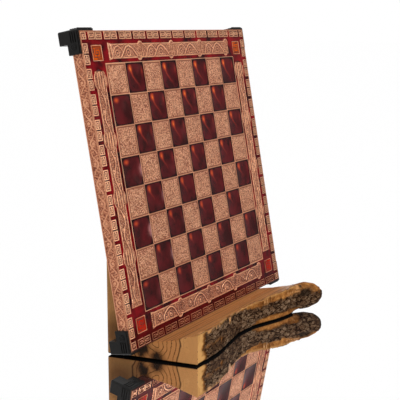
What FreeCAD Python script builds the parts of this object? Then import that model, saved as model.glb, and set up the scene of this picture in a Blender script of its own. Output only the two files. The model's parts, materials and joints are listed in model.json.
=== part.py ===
import FreeCAD, Part
import math
import os

import Sketcher

# A square chess board with an embossed copper face and enamel fills, on four black corner feet.
# It leans on a single block of live-edge olive wood and lifts off it along its own plane.
# Millimetres, +Z up. The origin is on the ground below the middle of the whole object.
# The board's own pieces are drawn flat: X along its lower edge from the left corner, Y up the
# board, and Z out of its face, with the face at zero. One placement then leans them all.

Vector = FreeCAD.Vector
Rotation = FreeCAD.Rotation
Placement = FreeCAD.Placement

SIZES = (
    ("board_side", 360.0, "side of the square board"),
    ("board_thickness", 14.5, "face to back"),
    ("lean_angle", 10.5, "degrees that the board leans back from upright"),
    ("edge_height", 22.8, "ground to the board's front lower edge"),
    ("edge_ahead", 6.6, "how far that edge stands in front of the origin"),
    ("rail_wall", 1.4, "wall of the four side rails"),
    ("cover_thickness", 1.2, "cover on the board's back"),
    ("plate_thickness", 0.8, "copper plate under the relief"),
    ("relief_depth", 1.6, "plate below the highest copper"),
    ("border_width", 37.7, "board's edge to the first row of squares"),
    ("squares", 8.0, "squares along a side"),
    ("field_rim", 0.9, "copper line round the squares"),
    ("field_drop", 0.3, "grid lines below the stippled squares"),
    ("grid_line", 0.5, "copper left on each side of an enamelled square"),
    ("stipple_margin", 1.3, "grid line round a stippled square"),
    ("square_enamel_drop", 0.5, "enamel of a dark square below the face"),
    ("channel_enamel_drop", 0.7, "enamel of the border channels below the face"),
    ("key_width", 8.6, "width of the Greek key blocks"),
    ("key_corner", 12.0, "board's edge to the middle of the first gap between blocks"),
    ("key_gap", 4.4, "enamel gap between two blocks"),
    ("key_blocks", 12.0, "blocks on each side, besides the corner square"),
    ("key_split", 0.8, "groove between the two squares of a block"),
    ("key_groove", 0.9, "width of the spiral groove"),
    ("key_line", 1.3, "copper line beside the groove"),
    ("key_depth", 0.5, "depth of the grooves"),
    ("frieze_inset", 15.5, "board's edge to the friezes"),
    ("frieze_width", 16.7, "width of the friezes"),
    ("frieze_end", 46.4, "board's corner to the end of a frieze"),
    ("frieze_panels", 4.0, "panels in a frieze"),
    ("frieze_drop", 0.4, "ground of a frieze below its ribs"),
    ("post_width", 10.0, "round-ended posts of the lower and upper friezes"),
    ("petal_width", 26.6, "oval posts of the side friezes"),
    ("post_slant", 4.2, "sideways lean of a post between its two ends"),
    ("petal_set_back", 9.5, "an oval's centre before the end of its panel"),
    ("post_set_back", 6.0, "middle of a post from the end of its panel"),
    ("post_overhang", 3.0, "how far the posts' ends reach past the frieze"),
    ("post_facets", 5.0, "flats on each rounded end of a post"),
    ("cap_width", 7.0, "flared cap at the start of a frieze"),
    ("cap_overhang", 1.6, "how far that cap flares past the frieze"),
    ("rib_width", 1.8, "raised ribs on the friezes"),
    ("medallion_inset", 16.3, "board's edge to a corner medallion"),
    ("medallion_side", 17.7, "side of the medallion"),
    ("medallion_frame", 1.1, "copper frame of the medallion"),
    ("medallion_key", 1.1, "copper line of the key in the medallion"),
    ("medallion_floor", 0.6, "metal below the medallion's enamel"),
    ("medallion_enamel_drop", 0.4, "enamel of the medallion below the face"),
    ("foot_reach", 25.0, "corner foot's wings along the board's sides"),
    ("foot_wall", 2.6, "wall of the wings"),
    ("foot_front", 1.0, "wings' front edge behind the face"),
    ("foot_plate", 3.0, "plate of the foot under the board"),
    ("foot_round", 2.2, "rounded outer corner of the foot"),
    ("foot_block", 15.5, "side of the square block that the board lies on"),
    ("foot_drop", 11.5, "height of that block below its plate"),
    ("foot_chamfer", 0.6, "bevel round the block's sole and the wings"),
    ("rosette_radius", 4.0, "round boss on the wings"),
    ("rosette_relief", 0.5, "height of that boss"),
    ("wing_relief", 1.0, "height of the flutes and the bead"),
    ("rosette_place", 16.6, "boss's centre from the corner of the board"),
    ("flute_width", 1.5, "raised flutes beside the boss"),
    ("felt_side", 12.0, "square felt pad under a foot"),
    ("felt_thickness", 1.0, "thickness of that pad"),
    ("stand_side_gap", 4.3, "left foot to the stand's left end, at the back"),
    ("stand_right_gap", 39.0, "right foot to the stand's right end, at the back"),
    ("saw_angle", 11.0, "degrees by which the left end is sawn askew"),
    ("rest_depth", 57.0, "board's lower edge to the stand's back"),
    ("rest_height", 124.0, "ground to the top of the back rest"),
    ("rest_clearance", 0.1, "room between the back rest and the board"),
    ("seat_front", 17.5, "flat seat in front of the board"),
    ("bark_round", 1.0, "bevel along the foot of the bark edge"),
    ("rest_bevel", 2.0, "bevel along the back rest's natural top"),
    ("stub_height", 22.1, "ground to the middle of the branch stub"),
    ("stub_radius", 19.5, "half thickness of the stub"),
    ("stub_length", 45.4, "middle of the stub to its tip"),
    ("stub_root", 30.0, "middle of the stub to its root inside the block"),
    ("stub_bluntness", 2.6, "how blunt the tip is, where 2 is a plain ellipse"),
    ("stub_angle", 30.0, "degrees that the stub turns forward"),
    ("stub_ahead", 54.6, "middle of the stub in front of the board's lower edge"),
    ("stub_share", 0.992, "middle of the stub along the stand, as a share of its length"),
    ("bumper_height", 1.6, "rubber bumpers under the stand"),
    ("bumper_radius", 6.0, "radius of a bumper"),
    ("round_flats", 16.0, "flats that a small round is drawn with"),
    ("bumper_front", 26.0, "front bumpers ahead of the board's lower edge"),
    ("bumper_back", 45.0, "rear bumpers behind the board's lower edge"),
    ("bumper_inset", 34.0, "bumpers from the ends of the stand"),
)

# The live bark edge seen from above: share of the stand's length from its left end, and the
# distance in front of the board's lower edge.
BARK_EDGE = (
    (-0.06, 55.0),
    (0.067, 54.5),
    (0.140, 54.5),
    (0.265, 53.0),
    (0.410, 46.3),
    (0.547, 40.2),
    (0.635, 41.0),
    (0.714, 45.8),
    (0.800, 53.5),
    (0.890, 59.0),
    (0.958, 61.0),
)

# The natural right end of the stand, in the same terms, from the stub to the back.
RIGHT_END = ((0.958, 61.0), (1.022, 46.0), (1.036, 24.0), (1.026, 0.0), (1.012, -25.0))

# The hollowed top of the ledge in front of the seat: distance in front of the board's lower
# edge, and height above that edge.
LEDGE_HOLLOW = ((32.5, 7.6), (53.7, 14.6), (75.0, 22.0), (110.0, 35.0))

# The natural top of the back rest: share of the stand's length, and drop below its height.
REST_TOP = ((-0.06, 9.0), (0.12, 2.0), (0.3, 0.0), (0.48, 4.0), (0.66, 1.0), (0.85, 9.0), (1.0, 26.0))

# The raised line of one panel of the lower and of the upper frieze: distance past the panel's
# post, and distance from the frieze's middle line. The upper frieze's lower edge counts as high.
WAVE_CREST = ((-37.0, -5.0), (-34.0, 0.0), (-27.0, 5.0), (-21.5, 6.4), (-14.5, 4.0), (-9.5, -2.4), (-7.0, -6.6))
ARCHES = ((-54.0, 6.4), (-46.0, -6.0), (-37.5, 5.5), (-30.0, -2.5), (-22.0, -6.4), (-14.0, -2.0), (-7.0, 6.4))

# The four sides of the board, as quarter turns anticlockwise from the lower one.
SIDES = (("bottom", 0), ("right", 1), ("top", 2), ("left", 3))
CORNERS = (("bottom_left", 0), ("bottom_right", 1), ("top_right", 2), ("top_left", 3))

doc = FreeCAD.newDocument("chess_board")
sheet = doc.addObject("Spreadsheet::Sheet", "Sizes")
for row, (alias, number, meaning) in enumerate(SIZES, start=1):
    sheet.set("A%d" % row, alias)
    sheet.set("B%d" % row, str(number))
    sheet.set("C%d" % row, meaning)
    sheet.setAlias("B%d" % row, alias)
doc.recompute()

nodes = []


def size(alias):
    """Read one driving dimension from the sheet."""
    return float(sheet.get(alias))


def keep(item, label):
    """Give a finished sub-part the name that its file takes."""
    item.Label = label
    nodes.append(item)
    return item


def board_place(quarter_turns=0):
    """Where a piece drawn on the flat board comes to stand, after turns about its middle."""
    half = size("board_side") / 2
    turn = Placement(Vector(), Rotation(Vector(0, 0, 1), 90 * quarter_turns), Vector(half, half, 0))
    middle = Placement(Vector(-half, 0, 0), Rotation())
    lean = Rotation(Vector(1, 0, 0), 90 - size("lean_angle"))
    edge = Placement(Vector(0, -size("edge_ahead"), size("edge_height")), lean)
    return edge * middle * turn


def stand_place():
    """Where a piece drawn from the ground below the board's lower edge comes to stand."""
    return Placement(Vector(0, -size("edge_ahead"), 0), Rotation())


def feature(label, shape, placement):
    """A sub-part whose form is worked out with Part's own functions."""
    item = doc.addObject("Part::Feature", label)
    item.Shape = shape
    item.Placement = placement
    return keep(item, label)


def drawn_body(name, placement):
    """A body to draw sketches in."""
    body = doc.addObject("PartDesign::Body", name)
    body.Placement = placement
    return body


def sketch_on(body, name, offset):
    """A sketch on a level plane of the body, moved by the offset."""
    sketch = body.newObject("Sketcher::SketchObject", name)
    level = [plane for plane in body.Origin.OriginFeatures if plane.Role == "XY_Plane"][0]
    sketch.AttachmentSupport = [(level, "")]
    sketch.MapMode = "FlatFace"
    for axis, expression in zip("xyz", offset):
        sketch.setExpression("AttachmentOffset.Base." + axis, expression)
    return sketch


def draw_outline(sketch, corners):
    """Draw a closed outline whose corners follow expressions for X and Y."""
    guess = [Vector(1, 1, 0), Vector(9, 1, 0), Vector(9, 9, 0), Vector(1, 9, 0)]
    count = len(corners)
    for index in range(count):
        sketch.addGeometry(Part.LineSegment(guess[index], guess[(index + 1) % count]))
    for index in range(count):
        sketch.addConstraint(Sketcher.Constraint("Coincident", index, 2, (index + 1) % count, 1))
    for index, corner in enumerate(corners):
        for kind, expression, own_axis in zip(("DistanceX", "DistanceY"), corner, (-2, -1)):
            if expression == "0":
                sketch.addConstraint(Sketcher.Constraint("PointOnObject", index, 1, own_axis))
                continue
            start = guess[index].x if kind == "DistanceX" else guess[index].y
            made = sketch.addConstraint(Sketcher.Constraint(kind, -1, 1, index, 1, start))
            title = "%s_%d" % (kind, index)
            sketch.renameConstraint(made, title)
            sketch.setExpression("Constraints." + title, expression)


def rectangle(left, bottom, right, top):
    """The four corners of a rectangle, as expressions."""
    return ((left, bottom), (right, bottom), (right, top), (left, top))


def pad_down(body, name, sketch, length):
    """Pad a sketch away from the face, into the board."""
    pad = body.newObject("PartDesign::Pad", name)
    pad.Profile = sketch
    pad.Reversed = True
    pad.setExpression("Length", length)
    return pad


def slab(left, bottom, right, top, low, high):
    """A plain block between two corners."""
    return Part.makeBox(right - left, top - bottom, high - low, Vector(left, bottom, low))


def prism(points, low, high):
    """A straight-sided outline between two heights."""
    corners = [Vector(point[0], point[1], low) for point in points]
    return Part.Face(Part.makePolygon(corners + corners[:1])).extrude(Vector(0, 0, high - low))


def flat_round(radius, height, centre, axis):
    """A small round disc drawn with flats, from a centre along an axis."""
    flats = int(size("round_flats"))
    start = Vector(radius, 0, 0)
    corners = [centre + Rotation(axis, 360 * index / flats).multVec(start) for index in range(flats)]
    return Part.Face(Part.makePolygon(corners + corners[:1])).extrude(axis * height)


def ribbon(points, width):
    """The outline of a band of even width along a line of points, with mitred turns."""
    left, right = [], []
    last = len(points) - 1
    for index, point in enumerate(points):
        before = points[max(index - 1, 0)]
        after = points[min(index + 1, last)]
        if index == 0:
            before = point
        if index == last:
            after = point
        arrive = direction(before, point) or direction(point, after)
        leave = direction(point, after) or arrive
        normal = (-arrive[1] - leave[1], arrive[0] + leave[0])
        length = math.hypot(normal[0], normal[1])
        normal = (normal[0] / length, normal[1] / length)
        along = normal[0] * -leave[1] + normal[1] * leave[0]
        reach = width / 2 / along
        left.append((point[0] + normal[0] * reach, point[1] + normal[1] * reach))
        right.append((point[0] - normal[0] * reach, point[1] - normal[1] * reach))
    return left + right[::-1]


def direction(start, end):
    """Unit step from one point to another, or nothing where they are the same."""
    run = (end[0] - start[0], end[1] - start[1])
    length = math.hypot(run[0], run[1])
    return (run[0] / length, run[1] / length) if length else None


def make_panel(label, low, high):
    """A square sheet of the board inside the side rails, between two levels."""
    box = doc.addObject("Part::Box", label + "_sheet")
    for side in ("Length", "Width"):
        box.setExpression(side, "Sizes.board_side - 2 * Sizes.rail_wall")
    box.setExpression("Height", "(%s) - (%s)" % (high, low))
    for axis, expression in (("x", "Sizes.rail_wall"), ("y", "Sizes.rail_wall"), ("z", low)):
        box.setExpression("Placement.Base." + axis, expression)
    return box


def make_board_layers():
    """Core, back cover and face plate, one on the other."""
    cover_top = "Sizes.cover_thickness - Sizes.board_thickness"
    plate_low = "-Sizes.relief_depth - Sizes.plate_thickness"
    layers = (
        ("face_plate", plate_low, "-Sizes.relief_depth"),
        ("core_panel", cover_top, plate_low),
        ("back_cover", "-Sizes.board_thickness", cover_top),
    )
    for label, low, high in layers:
        sheet_box = make_panel(label, low, high)
        doc.recompute()
        feature(label, sheet_box.Shape, board_place().multiply(sheet_box.Placement))


def make_side_rails():
    """Four mitred rails of thin copper that close the board's edge."""
    wall, far = "Sizes.rail_wall", "Sizes.board_side"
    inner = "Sizes.board_side - Sizes.rail_wall"
    for side, quarter_turns in SIDES:
        label = "side_rail_" + side
        body = drawn_body(label, board_place(quarter_turns))
        sketch = sketch_on(body, label + "_outline", ("0", "0", "0"))
        draw_outline(sketch, (("0", "0"), (far, "0"), (inner, wall), (wall, wall)))
        pad_down(body, label + "_pad", sketch, "Sizes.board_thickness")
        keep(body, label)


def field_squares():
    """Place of each square: left, bottom, its side, and whether it is enamelled."""
    start = size("border_width")
    count = int(size("squares"))
    side = (size("board_side") - 2 * start) / count
    for column in range(count):
        for row in range(count):
            dark = (column + row) % 2 == 0
            yield start + column * side, start + row * side, side, dark


def make_playing_field():
    """The copper grid with stippled squares standing up in it and pockets for the enamel."""
    floor = -size("relief_depth")
    lines = -size("field_drop")
    low = size("border_width") - size("field_rim")
    high = size("board_side") - low
    grid = slab(low, low, high, high, floor, lines)
    pockets, cushions, enamels = [], [], []
    for left, bottom, side, dark in field_squares():
        if dark:
            edge = size("grid_line")
            place = (left + edge, bottom + edge, left + side - edge, bottom + side - edge)
            pockets.append(slab(*place, floor, 0))
            enamels.append(slab(*place, floor, -size("square_enamel_drop")))
        else:
            edge = size("stipple_margin")
            cushions.append(slab(left + edge, bottom + edge, left + side - edge, bottom + side - edge, lines, 0))
    grid = grid.cut(pockets).fuse(cushions)
    feature("playing_field", grid.removeSplitter(), board_place())
    feature("dark_square_enamel", Part.makeCompound(enamels), board_place())


def key_groove_path(across, up):
    """Middle line of the hooked groove in one Greek key square of the given size."""
    edge = size("key_line") + size("key_groove") / 2
    return (
        (edge, size("key_line")),
        (edge, up - edge),
        (across - edge, up - edge),
        (across - edge, edge),
        (2 * edge, edge),
    )


def key_square(left, across):
    """The groove of one key square, as the solid to be cut away."""
    low = -size("key_depth")
    bottom = size("rail_wall")
    path = [(left + x, bottom + y) for x, y in key_groove_path(across, size("key_width"))]
    return prism(ribbon(path, size("key_groove")), low, 0)


def key_block_outlines():
    """The plain block of the corner and the row of blocks, as left and right ends."""
    corner, gap = size("key_corner"), size("key_gap")
    count = int(size("key_blocks"))
    pitch = (size("board_side") - 2 * corner) / count
    ends = [(size("rail_wall"), corner - gap / 2)]
    ends += [(corner + index * pitch + gap / 2, corner + (index + 1) * pitch - gap / 2) for index in range(count)]
    return ends


def key_block(left, right, grooved):
    """One block of the Greek key border, plain or with its grooves."""
    bottom = size("rail_wall")
    top = bottom + size("key_width")
    block = slab(left, bottom, right, top, -size("relief_depth"), 0)
    if not grooved:
        return block
    split = size("key_split")
    across = (right - left - split) / 2
    if across < size("key_width") - split:
        return block.cut(key_square(left, right - left))
    middle = left + across
    parting = slab(middle, bottom, middle + split, top, -size("key_depth"), 0)
    return block.cut([key_square(left, across), parting, key_square(middle + split, across)])


def make_key_border():
    """The Greek key rows of the four sides."""
    blocks = [key_block(left, right, True) for left, right in key_block_outlines()]
    for side, quarter_turns in SIDES:
        row = Part.makeCompound([block.copy() for block in blocks])
        feature("key_border_" + side, row, board_place(quarter_turns))


def bar_outline(centre, low, high, width, end_rise, slant):
    """The outline of a bar across a frieze, whose two ends are rounded with a few flats."""
    flats = int(size("post_facets"))
    points = []
    for sign, base in ((1, high - end_rise), (-1, low + end_rise)):
        for index in range(flats + 1):
            turn = math.pi * index / flats
            x = centre + sign * (slant + width * math.cos(turn)) / 2
            y = base + sign * end_rise * math.sin(turn)
            point = (round(x, 6), round(y, 6))
            if point not in points:
                points.append(point)
    return points


def frieze_edges():
    """Start and end of a frieze along its side, and its lower and upper edge."""
    low = size("frieze_inset")
    end = size("frieze_end")
    return end, size("board_side") - end, low, low + size("frieze_width")


def post_outlines(side):
    """The flared cap and the posts of a frieze, which are ovals on the side friezes."""
    start, finish, low, high = frieze_edges()
    pitch = (finish - start) / int(size("frieze_panels"))
    over, flare, cap = size("post_overhang"), size("cap_overhang"), size("cap_width")
    slant = {"bottom": size("post_slant"), "top": -size("post_slant")}.get(side)
    petals = slant is None
    width = size("petal_width") if petals else size("post_width")
    back = size("petal_set_back") if petals else size("post_set_back")
    end_rise = (high - low) / 2 + over if petals else width / 2
    outlines = [((start, low - flare), (start + cap, low), (start + cap, high), (start, high + flare))]
    for index in range(int(size("frieze_panels"))):
        centre = start + (index + 1) * pitch - back
        outlines.append(bar_outline(centre, low - over, high + over, width, end_rise, slant or 0))
    return outlines


def line_rib(line, start, length):
    """A raised line of one panel, from its table."""
    _start, _finish, low, high = frieze_edges()
    post = start + length - size("post_set_back")
    return [ribbon([(post + along, (low + high) / 2 + up) for along, up in line], size("rib_width"))]


def arch_ribs(start, length):
    """The pointed arches of one panel of the upper frieze."""
    return line_rib(ARCHES, start, length)


def crest_ribs(start, length):
    """The wave crest of one panel of the lower frieze."""
    return line_rib(WAVE_CREST, start, length)


def rim_ribs(start, length):
    """The two raised rims along one panel of a side frieze."""
    _start, _finish, low, high = frieze_edges()
    rib = size("rib_width")
    return [rectangle(start, bottom, start + length, bottom + rib) for bottom in (low, high - rib)]


def make_friezes():
    """The four friezes. Each is drawn from its start, which is at the left or at the bottom."""
    start, finish, low, high = frieze_edges()
    floor, ground = -size("relief_depth"), -size("frieze_drop")
    panels = int(size("frieze_panels"))
    pitch = (finish - start) / panels
    kinds = {"bottom": crest_ribs, "right": rim_ribs, "top": arch_ribs, "left": rim_ribs}
    friezes = {}
    for side, quarter_turns in SIDES:
        ribs = []
        for index in range(panels):
            ribs += kinds[side](start + index * pitch, pitch)
        far_end_first = quarter_turns >= 2
        levels = [(rectangle(start, low, finish, high), floor, ground)]
        levels += [(outline, floor, 0) for outline in post_outlines(side)]
        levels += [(outline, ground, 0) for outline in ribs]
        pieces = [prism(swapped(outline, far_end_first), bottom, top) for outline, bottom, top in levels]
        friezes[side] = pieces[0].fuse(pieces[1:]).removeSplitter()
        feature("frieze_" + side, friezes[side], board_place(quarter_turns))
    return friezes


def swapped(outline, wanted):
    """An outline with its left and right exchanged across the board, where that is wanted."""
    if not wanted:
        return outline
    return [(size("board_side") - x, y) for x, y in outline][::-1]


def medallion_block():
    """The plain square of one corner medallion, which the channel enamel goes round."""
    low = size("medallion_inset")
    high = low + size("medallion_side")
    return slab(low, low, high, high, -size("relief_depth"), 0)


def make_medallions():
    """The framed corner medallions with a small key, and the enamel inside their frames."""
    low = size("medallion_inset") + size("medallion_frame")
    high = size("medallion_inset") + size("medallion_side") - size("medallion_frame")
    floor = size("medallion_floor") - size("relief_depth")
    line = size("medallion_key")
    third = (high - low) / 3
    centre = (low + high) / 2
    path = (
        (centre, low + line),
        (low + line, low + line),
        (low + line, high - line),
        (high - line, high - line),
        (high - line, centre),
        (low + third, centre),
    )
    key = prism(ribbon(path, line), floor, -size("medallion_enamel_drop"))
    hollow = slab(low, low, high, high, floor, 0)
    metal = medallion_block().cut(hollow).fuse(key).removeSplitter()
    enamel = slab(low, low, high, high, floor, -size("medallion_enamel_drop")).cut(key)
    half = size("board_side") / 2
    for label, shape in (("medallions", metal), ("medallion_enamel", enamel)):
        copies = []
        for _corner, quarter_turns in CORNERS:
            copy = shape.copy()
            copy.rotate(Vector(half, half, 0), Vector(0, 0, 1), 90 * quarter_turns)
            copies.append(copy)
        feature(label, Part.makeCompound(copies), board_place())


def make_channel_enamel(friezes):
    """The red enamel that fills every channel between the raised copper of the border."""
    wall, side = size("rail_wall"), size("board_side")
    low = size("border_width") - size("field_rim")
    floor, level = -size("relief_depth"), -size("channel_enamel_drop")
    sheet_of_enamel = slab(wall, wall, side - wall, side - wall, floor, level)
    islands = [slab(low, low, side - low, side - low, floor, 0)]
    shared = [key_block(left, right, False) for left, right in key_block_outlines()]
    shared.append(medallion_block())
    for name, quarter_turns in SIDES:
        for island in shared + [friezes[name]]:
            copy = island.copy()
            copy.rotate(Vector(side / 2, side / 2, 0), Vector(0, 0, 1), 90 * quarter_turns)
            islands.append(copy)
    feature("channel_enamel", sheet_of_enamel.cut(islands), board_place())


def make_foot_body():
    """A corner foot in its own frame: wings, plate and block, before the wings' ornament."""
    body = drawn_body("corner_foot", Placement())
    outer = "-Sizes.foot_wall"
    reach = "Sizes.foot_reach + Sizes.foot_wall"
    far = "Sizes.foot_reach + 2 * Sizes.foot_wall"
    front = (outer, outer, "-Sizes.foot_front")
    sketch = sketch_on(body, "foot_outline", front)
    draw_outline(sketch, rectangle("0", "0", reach, reach))
    sole = "Sizes.board_thickness + Sizes.foot_plate"
    pad_down(body, "foot_cap", sketch, sole + " - Sizes.foot_front")
    board = sketch_on(body, "board_corner", front)
    draw_outline(board, rectangle("Sizes.foot_wall", "Sizes.foot_wall", far, far))
    cavity = body.newObject("PartDesign::Pocket", "board_pocket")
    cavity.Profile = board
    cavity.setExpression("Length", "Sizes.board_thickness - Sizes.foot_front")
    sketch = sketch_on(body, "block_outline", (outer, outer, "-(" + sole + ")"))
    draw_outline(sketch, rectangle("0", "0", "Sizes.foot_block", "Sizes.foot_block"))
    pad_down(body, "foot_block", sketch, "Sizes.foot_drop")
    doc.recompute()
    whole = (size("foot_reach") + size("foot_wall")) ** 2
    before = whole * (size("board_thickness") + size("foot_plate") - size("foot_front"))
    pocket = size("foot_reach") ** 2 * (size("board_thickness") - size("foot_front"))
    block = size("foot_block") ** 2 * size("foot_drop")
    if abs(body.Shape.Volume - (before - pocket + block)) > 1:
        raise RuntimeError("the board's pocket in the corner foot was not cut")
    round_outer_edge(body)
    bevel_sole(body)
    return body


def edge_names(body, wanted):
    """Names of the body's edges that a test picks."""
    return ["Edge%d" % number for number, edge in enumerate(body.Shape.Edges, start=1) if wanted(edge)]


def round_outer_edge(body):
    """Round the edge where the two wings and the block's outer sides meet."""
    corner = -size("foot_wall")

    def outer(edge):
        points = [vertex.Point for vertex in edge.Vertexes]
        return all(abs(point.x - corner) < 0.01 and abs(point.y - corner) < 0.01 for point in points)

    base = (body.Tip, edge_names(body, outer))
    rounded = body.newObject("PartDesign::Fillet", "foot_corner")
    rounded.Base = base
    rounded.setExpression("Radius", "Sizes.foot_round")
    body.Tip = rounded
    doc.recompute()


def bevel_sole(body):
    """Bevel the block's sole."""
    sole = -size("board_thickness") - size("foot_plate") - size("foot_drop")

    def lowest(edge):
        return all(abs(vertex.Point.z - sole) < 0.01 for vertex in edge.Vertexes)

    base = (body.Tip, edge_names(body, lowest))
    bevel = body.newObject("PartDesign::Chamfer", "foot_sole")
    bevel.Base = base
    bevel.setExpression("Size", "Sizes.foot_chamfer")
    body.Tip = bevel
    doc.recompute()


def wing_ornament():
    """The raised work on a foot's lower wing: a round boss, flutes beside it and a bead."""
    relief, flute = size("wing_relief"), size("flute_width")
    radius = size("rosette_radius")
    front = size("foot_front")
    wing = size("board_thickness") + size("foot_plate") - front
    middle = front + wing / 2
    outside = -size("foot_wall") - relief
    centre = Vector(size("rosette_place"), -size("foot_wall") - size("rosette_relief"), -middle)
    raised = [flat_round(radius, 2 * size("rosette_relief"), centre, Vector(0, 1, 0))]
    flute_end = size("rosette_place") - radius - flute / 2
    for step in (-1, 0, 1):
        across = middle + step * 2 * flute
        raised.append(slab(0, outside, flute_end, outside + 2 * relief, -across - flute / 2, -across + flute / 2))
    bead = -front - flute / 2
    raised.append(slab(0, outside, size("foot_reach") - flute / 2, outside + 2 * relief, bead - flute, bead))
    return raised


def make_corner_feet():
    """Four alike corner feet with the same ornament on both wings."""
    body = make_foot_body()
    ornament = wing_ornament()
    ornament += [piece.mirror(Vector(), Vector(1, -1, 0)) for piece in ornament]
    foot = body.Shape.fuse(ornament).removeSplitter()
    for corner, quarter_turns in CORNERS:
        feature("foot_" + corner, foot.copy(), board_place(quarter_turns))


def make_foot_felts():
    """Felt pads that the board lies on when it is off its stand."""
    low = (size("foot_block") - size("felt_side")) / 2 - size("foot_wall")
    high = low + size("felt_side")
    sole = -size("board_thickness") - size("foot_plate") - size("foot_drop")
    half = size("board_side") / 2
    pads = []
    for _corner, quarter_turns in CORNERS:
        pad = slab(low, low, high, high, sole - size("felt_thickness"), sole)
        pad.rotate(Vector(half, half, 0), Vector(0, 0, 1), 90 * quarter_turns)
        pads.append(pad)
    feature("foot_felts", Part.makeCompound(pads), board_place())


def stand_length():
    """Length of the stand at its back, between the lower corner feet."""
    gaps = size("stand_side_gap") + size("stand_right_gap")
    return size("board_side") - 2 * size("foot_reach") - gaps


def stand_left():
    """X of the stand's left end at its back."""
    return -size("board_side") / 2 + size("foot_reach") + size("stand_side_gap")


def along_stand(share):
    """X at a share of the stand's length."""
    return stand_left() + share * stand_length()


def smooth_edge(points):
    """One smooth curve through points."""
    curve = Part.BSplineCurve()
    curve.interpolate(points)
    return curve.toShape()


def make_ledge_blank():
    """The log's plan, from the sawn left end along the bark to the natural right end."""
    low, high = size("bumper_height"), size("edge_height") * 3
    bark = [Vector(along_stand(share), -ahead, low) for share, ahead in BARK_EDGE]
    end = [Vector(along_stand(share), -ahead, low) for share, ahead in RIGHT_END]
    right_back = Vector(along_stand(1.0), size("rest_depth"), low)
    left_back = Vector(bark[0].x, size("rest_depth"), low)
    edges = [smooth_edge(bark), smooth_edge(end + [right_back])]
    edges += [Part.makeLine(right_back, left_back), Part.makeLine(left_back, bark[0])]
    blank = Part.Face(Part.Wire(edges)).extrude(Vector(0, 0, high - low))
    foot = [edge for edge in blank.Edges if is_bark_foot(edge, low)]
    return blank.makeChamfer(size("bark_round"), foot)


def is_bark_foot(edge, low):
    """Whether an edge runs along the ground under the bark."""
    box = edge.BoundBox
    return abs(box.ZMax - low) < 0.01 and box.YMax < 0 and box.XLength > stand_length() / 2


def make_rest_slab():
    """The tall back of the block, with a natural top."""
    low, back = size("bumper_height"), size("rest_depth")
    top = [Vector(along_stand(share), back, size("rest_height") - drop) for share, drop in REST_TOP]
    right, left = Vector(top[-1].x, back, low), Vector(top[0].x, back, low)
    edges = [smooth_edge(top), Part.makeLine(top[-1], right), Part.makeLine(right, left), Part.makeLine(left, top[0])]
    return Part.Face(Part.Wire(edges)).extrude(Vector(0, -back - size("seat_front") / 2, 0))


def make_top_cut():
    """What is sawn away above the ledge: the seat, the hollow before it and the leaning rest."""
    tilt = math.radians(size("lean_angle"))
    up = Vector(0, math.sin(tilt), math.cos(tilt))
    inward = Vector(0, math.cos(tilt), -math.sin(tilt))
    edge = Vector(0, 0, size("edge_height"))
    notch = edge + inward * (size("board_thickness") + size("rest_clearance"))
    seat = edge - inward * (size("seat_front") / math.cos(tilt))
    hollow = [seat] + [edge + Vector(0, -ahead, rise) for ahead, rise in LEDGE_HOLLOW]
    above = 2 * size("rest_height")
    upper = notch + up * (above / math.cos(tilt))
    far = Vector(0, hollow[-1].y, upper.z)
    edges = [Part.makeLine(notch, seat), smooth_edge(hollow), Part.makeLine(hollow[-1], far)]
    edges += [Part.makeLine(far, upper), Part.makeLine(upper, notch)]
    reach = size("board_side")
    cut = Part.Face(Part.Wire(edges)).extrude(Vector(2 * reach, 0, 0))
    cut.translate(Vector(-reach, 0, 0))
    return cut


def make_end_cut():
    """What is sawn off askew at the left end."""
    reach = size("board_side")
    waste = Part.makeBox(reach, 2 * reach, 2 * reach, Vector(-reach, -reach, -reach / 2))
    turn = Rotation(Vector(0, 0, 1), size("saw_angle"))
    waste.Placement = Placement(Vector(stand_left(), size("rest_depth"), 0), turn).multiply(waste.Placement)
    return waste


def make_branch_stub():
    """The stub of a branch that swings forward at the right end, turned with a blunt tip."""
    angle = math.radians(size("stub_angle"))
    along = Vector(math.cos(angle), -math.sin(angle), 0)
    middle = Vector(along_stand(size("stub_share")), -size("stub_ahead"), size("stub_height"))
    power = 2 / size("stub_bluntness")
    radius, length = size("stub_radius"), size("stub_length")
    root = middle - along * size("stub_root")
    profile = [root, root + Vector(0, 0, radius)]
    bevels = 4
    for index in range(bevels + 1):
        turn = math.pi / 2 * index / bevels
        out = Vector(0, 0, radius * max(math.cos(turn), 0) ** power)
        profile.append(middle + along * (length * math.sin(turn) ** power) + out)
    return Part.Face(Part.makePolygon(profile + [root])).revolve(root, along, 360)


def make_stand():
    """One block of olive wood: ledge, bark edge, branch stub and leaning back rest."""
    block = make_ledge_blank().fuse([make_rest_slab(), make_branch_stub()])
    block = block.cut([make_top_cut(), make_end_cut()]).removeSplitter()
    block = block.makeChamfer(size("rest_bevel"), [edge for edge in block.Edges if is_rest_top(edge)])
    feature("stand_block", block, stand_place())


def is_rest_top(edge):
    """Whether an edge runs along the top of the back rest."""
    box = edge.BoundBox
    return box.ZMin > size("rest_height") / 2 and box.XLength > stand_length() / 2


def make_bumpers():
    """Rubber bumpers under the stand."""
    inset = size("bumper_inset")
    left, right = stand_left() + inset, stand_left() + stand_length() - inset
    discs = []
    for x in (left, right):
        for y in (-size("bumper_front"), size("bumper_back")):
            discs.append(flat_round(size("bumper_radius"), size("bumper_height"), Vector(x, y, 0), Vector(0, 0, 1)))
    feature("stand_bumpers", Part.makeCompound(discs), stand_place())


make_board_layers()
make_side_rails()
make_playing_field()
make_key_border()
frieze_shapes = make_friezes()
make_medallions()
make_channel_enamel(frieze_shapes)
make_corner_feet()
make_foot_felts()
make_stand()
make_bumpers()
doc.recompute()

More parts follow.
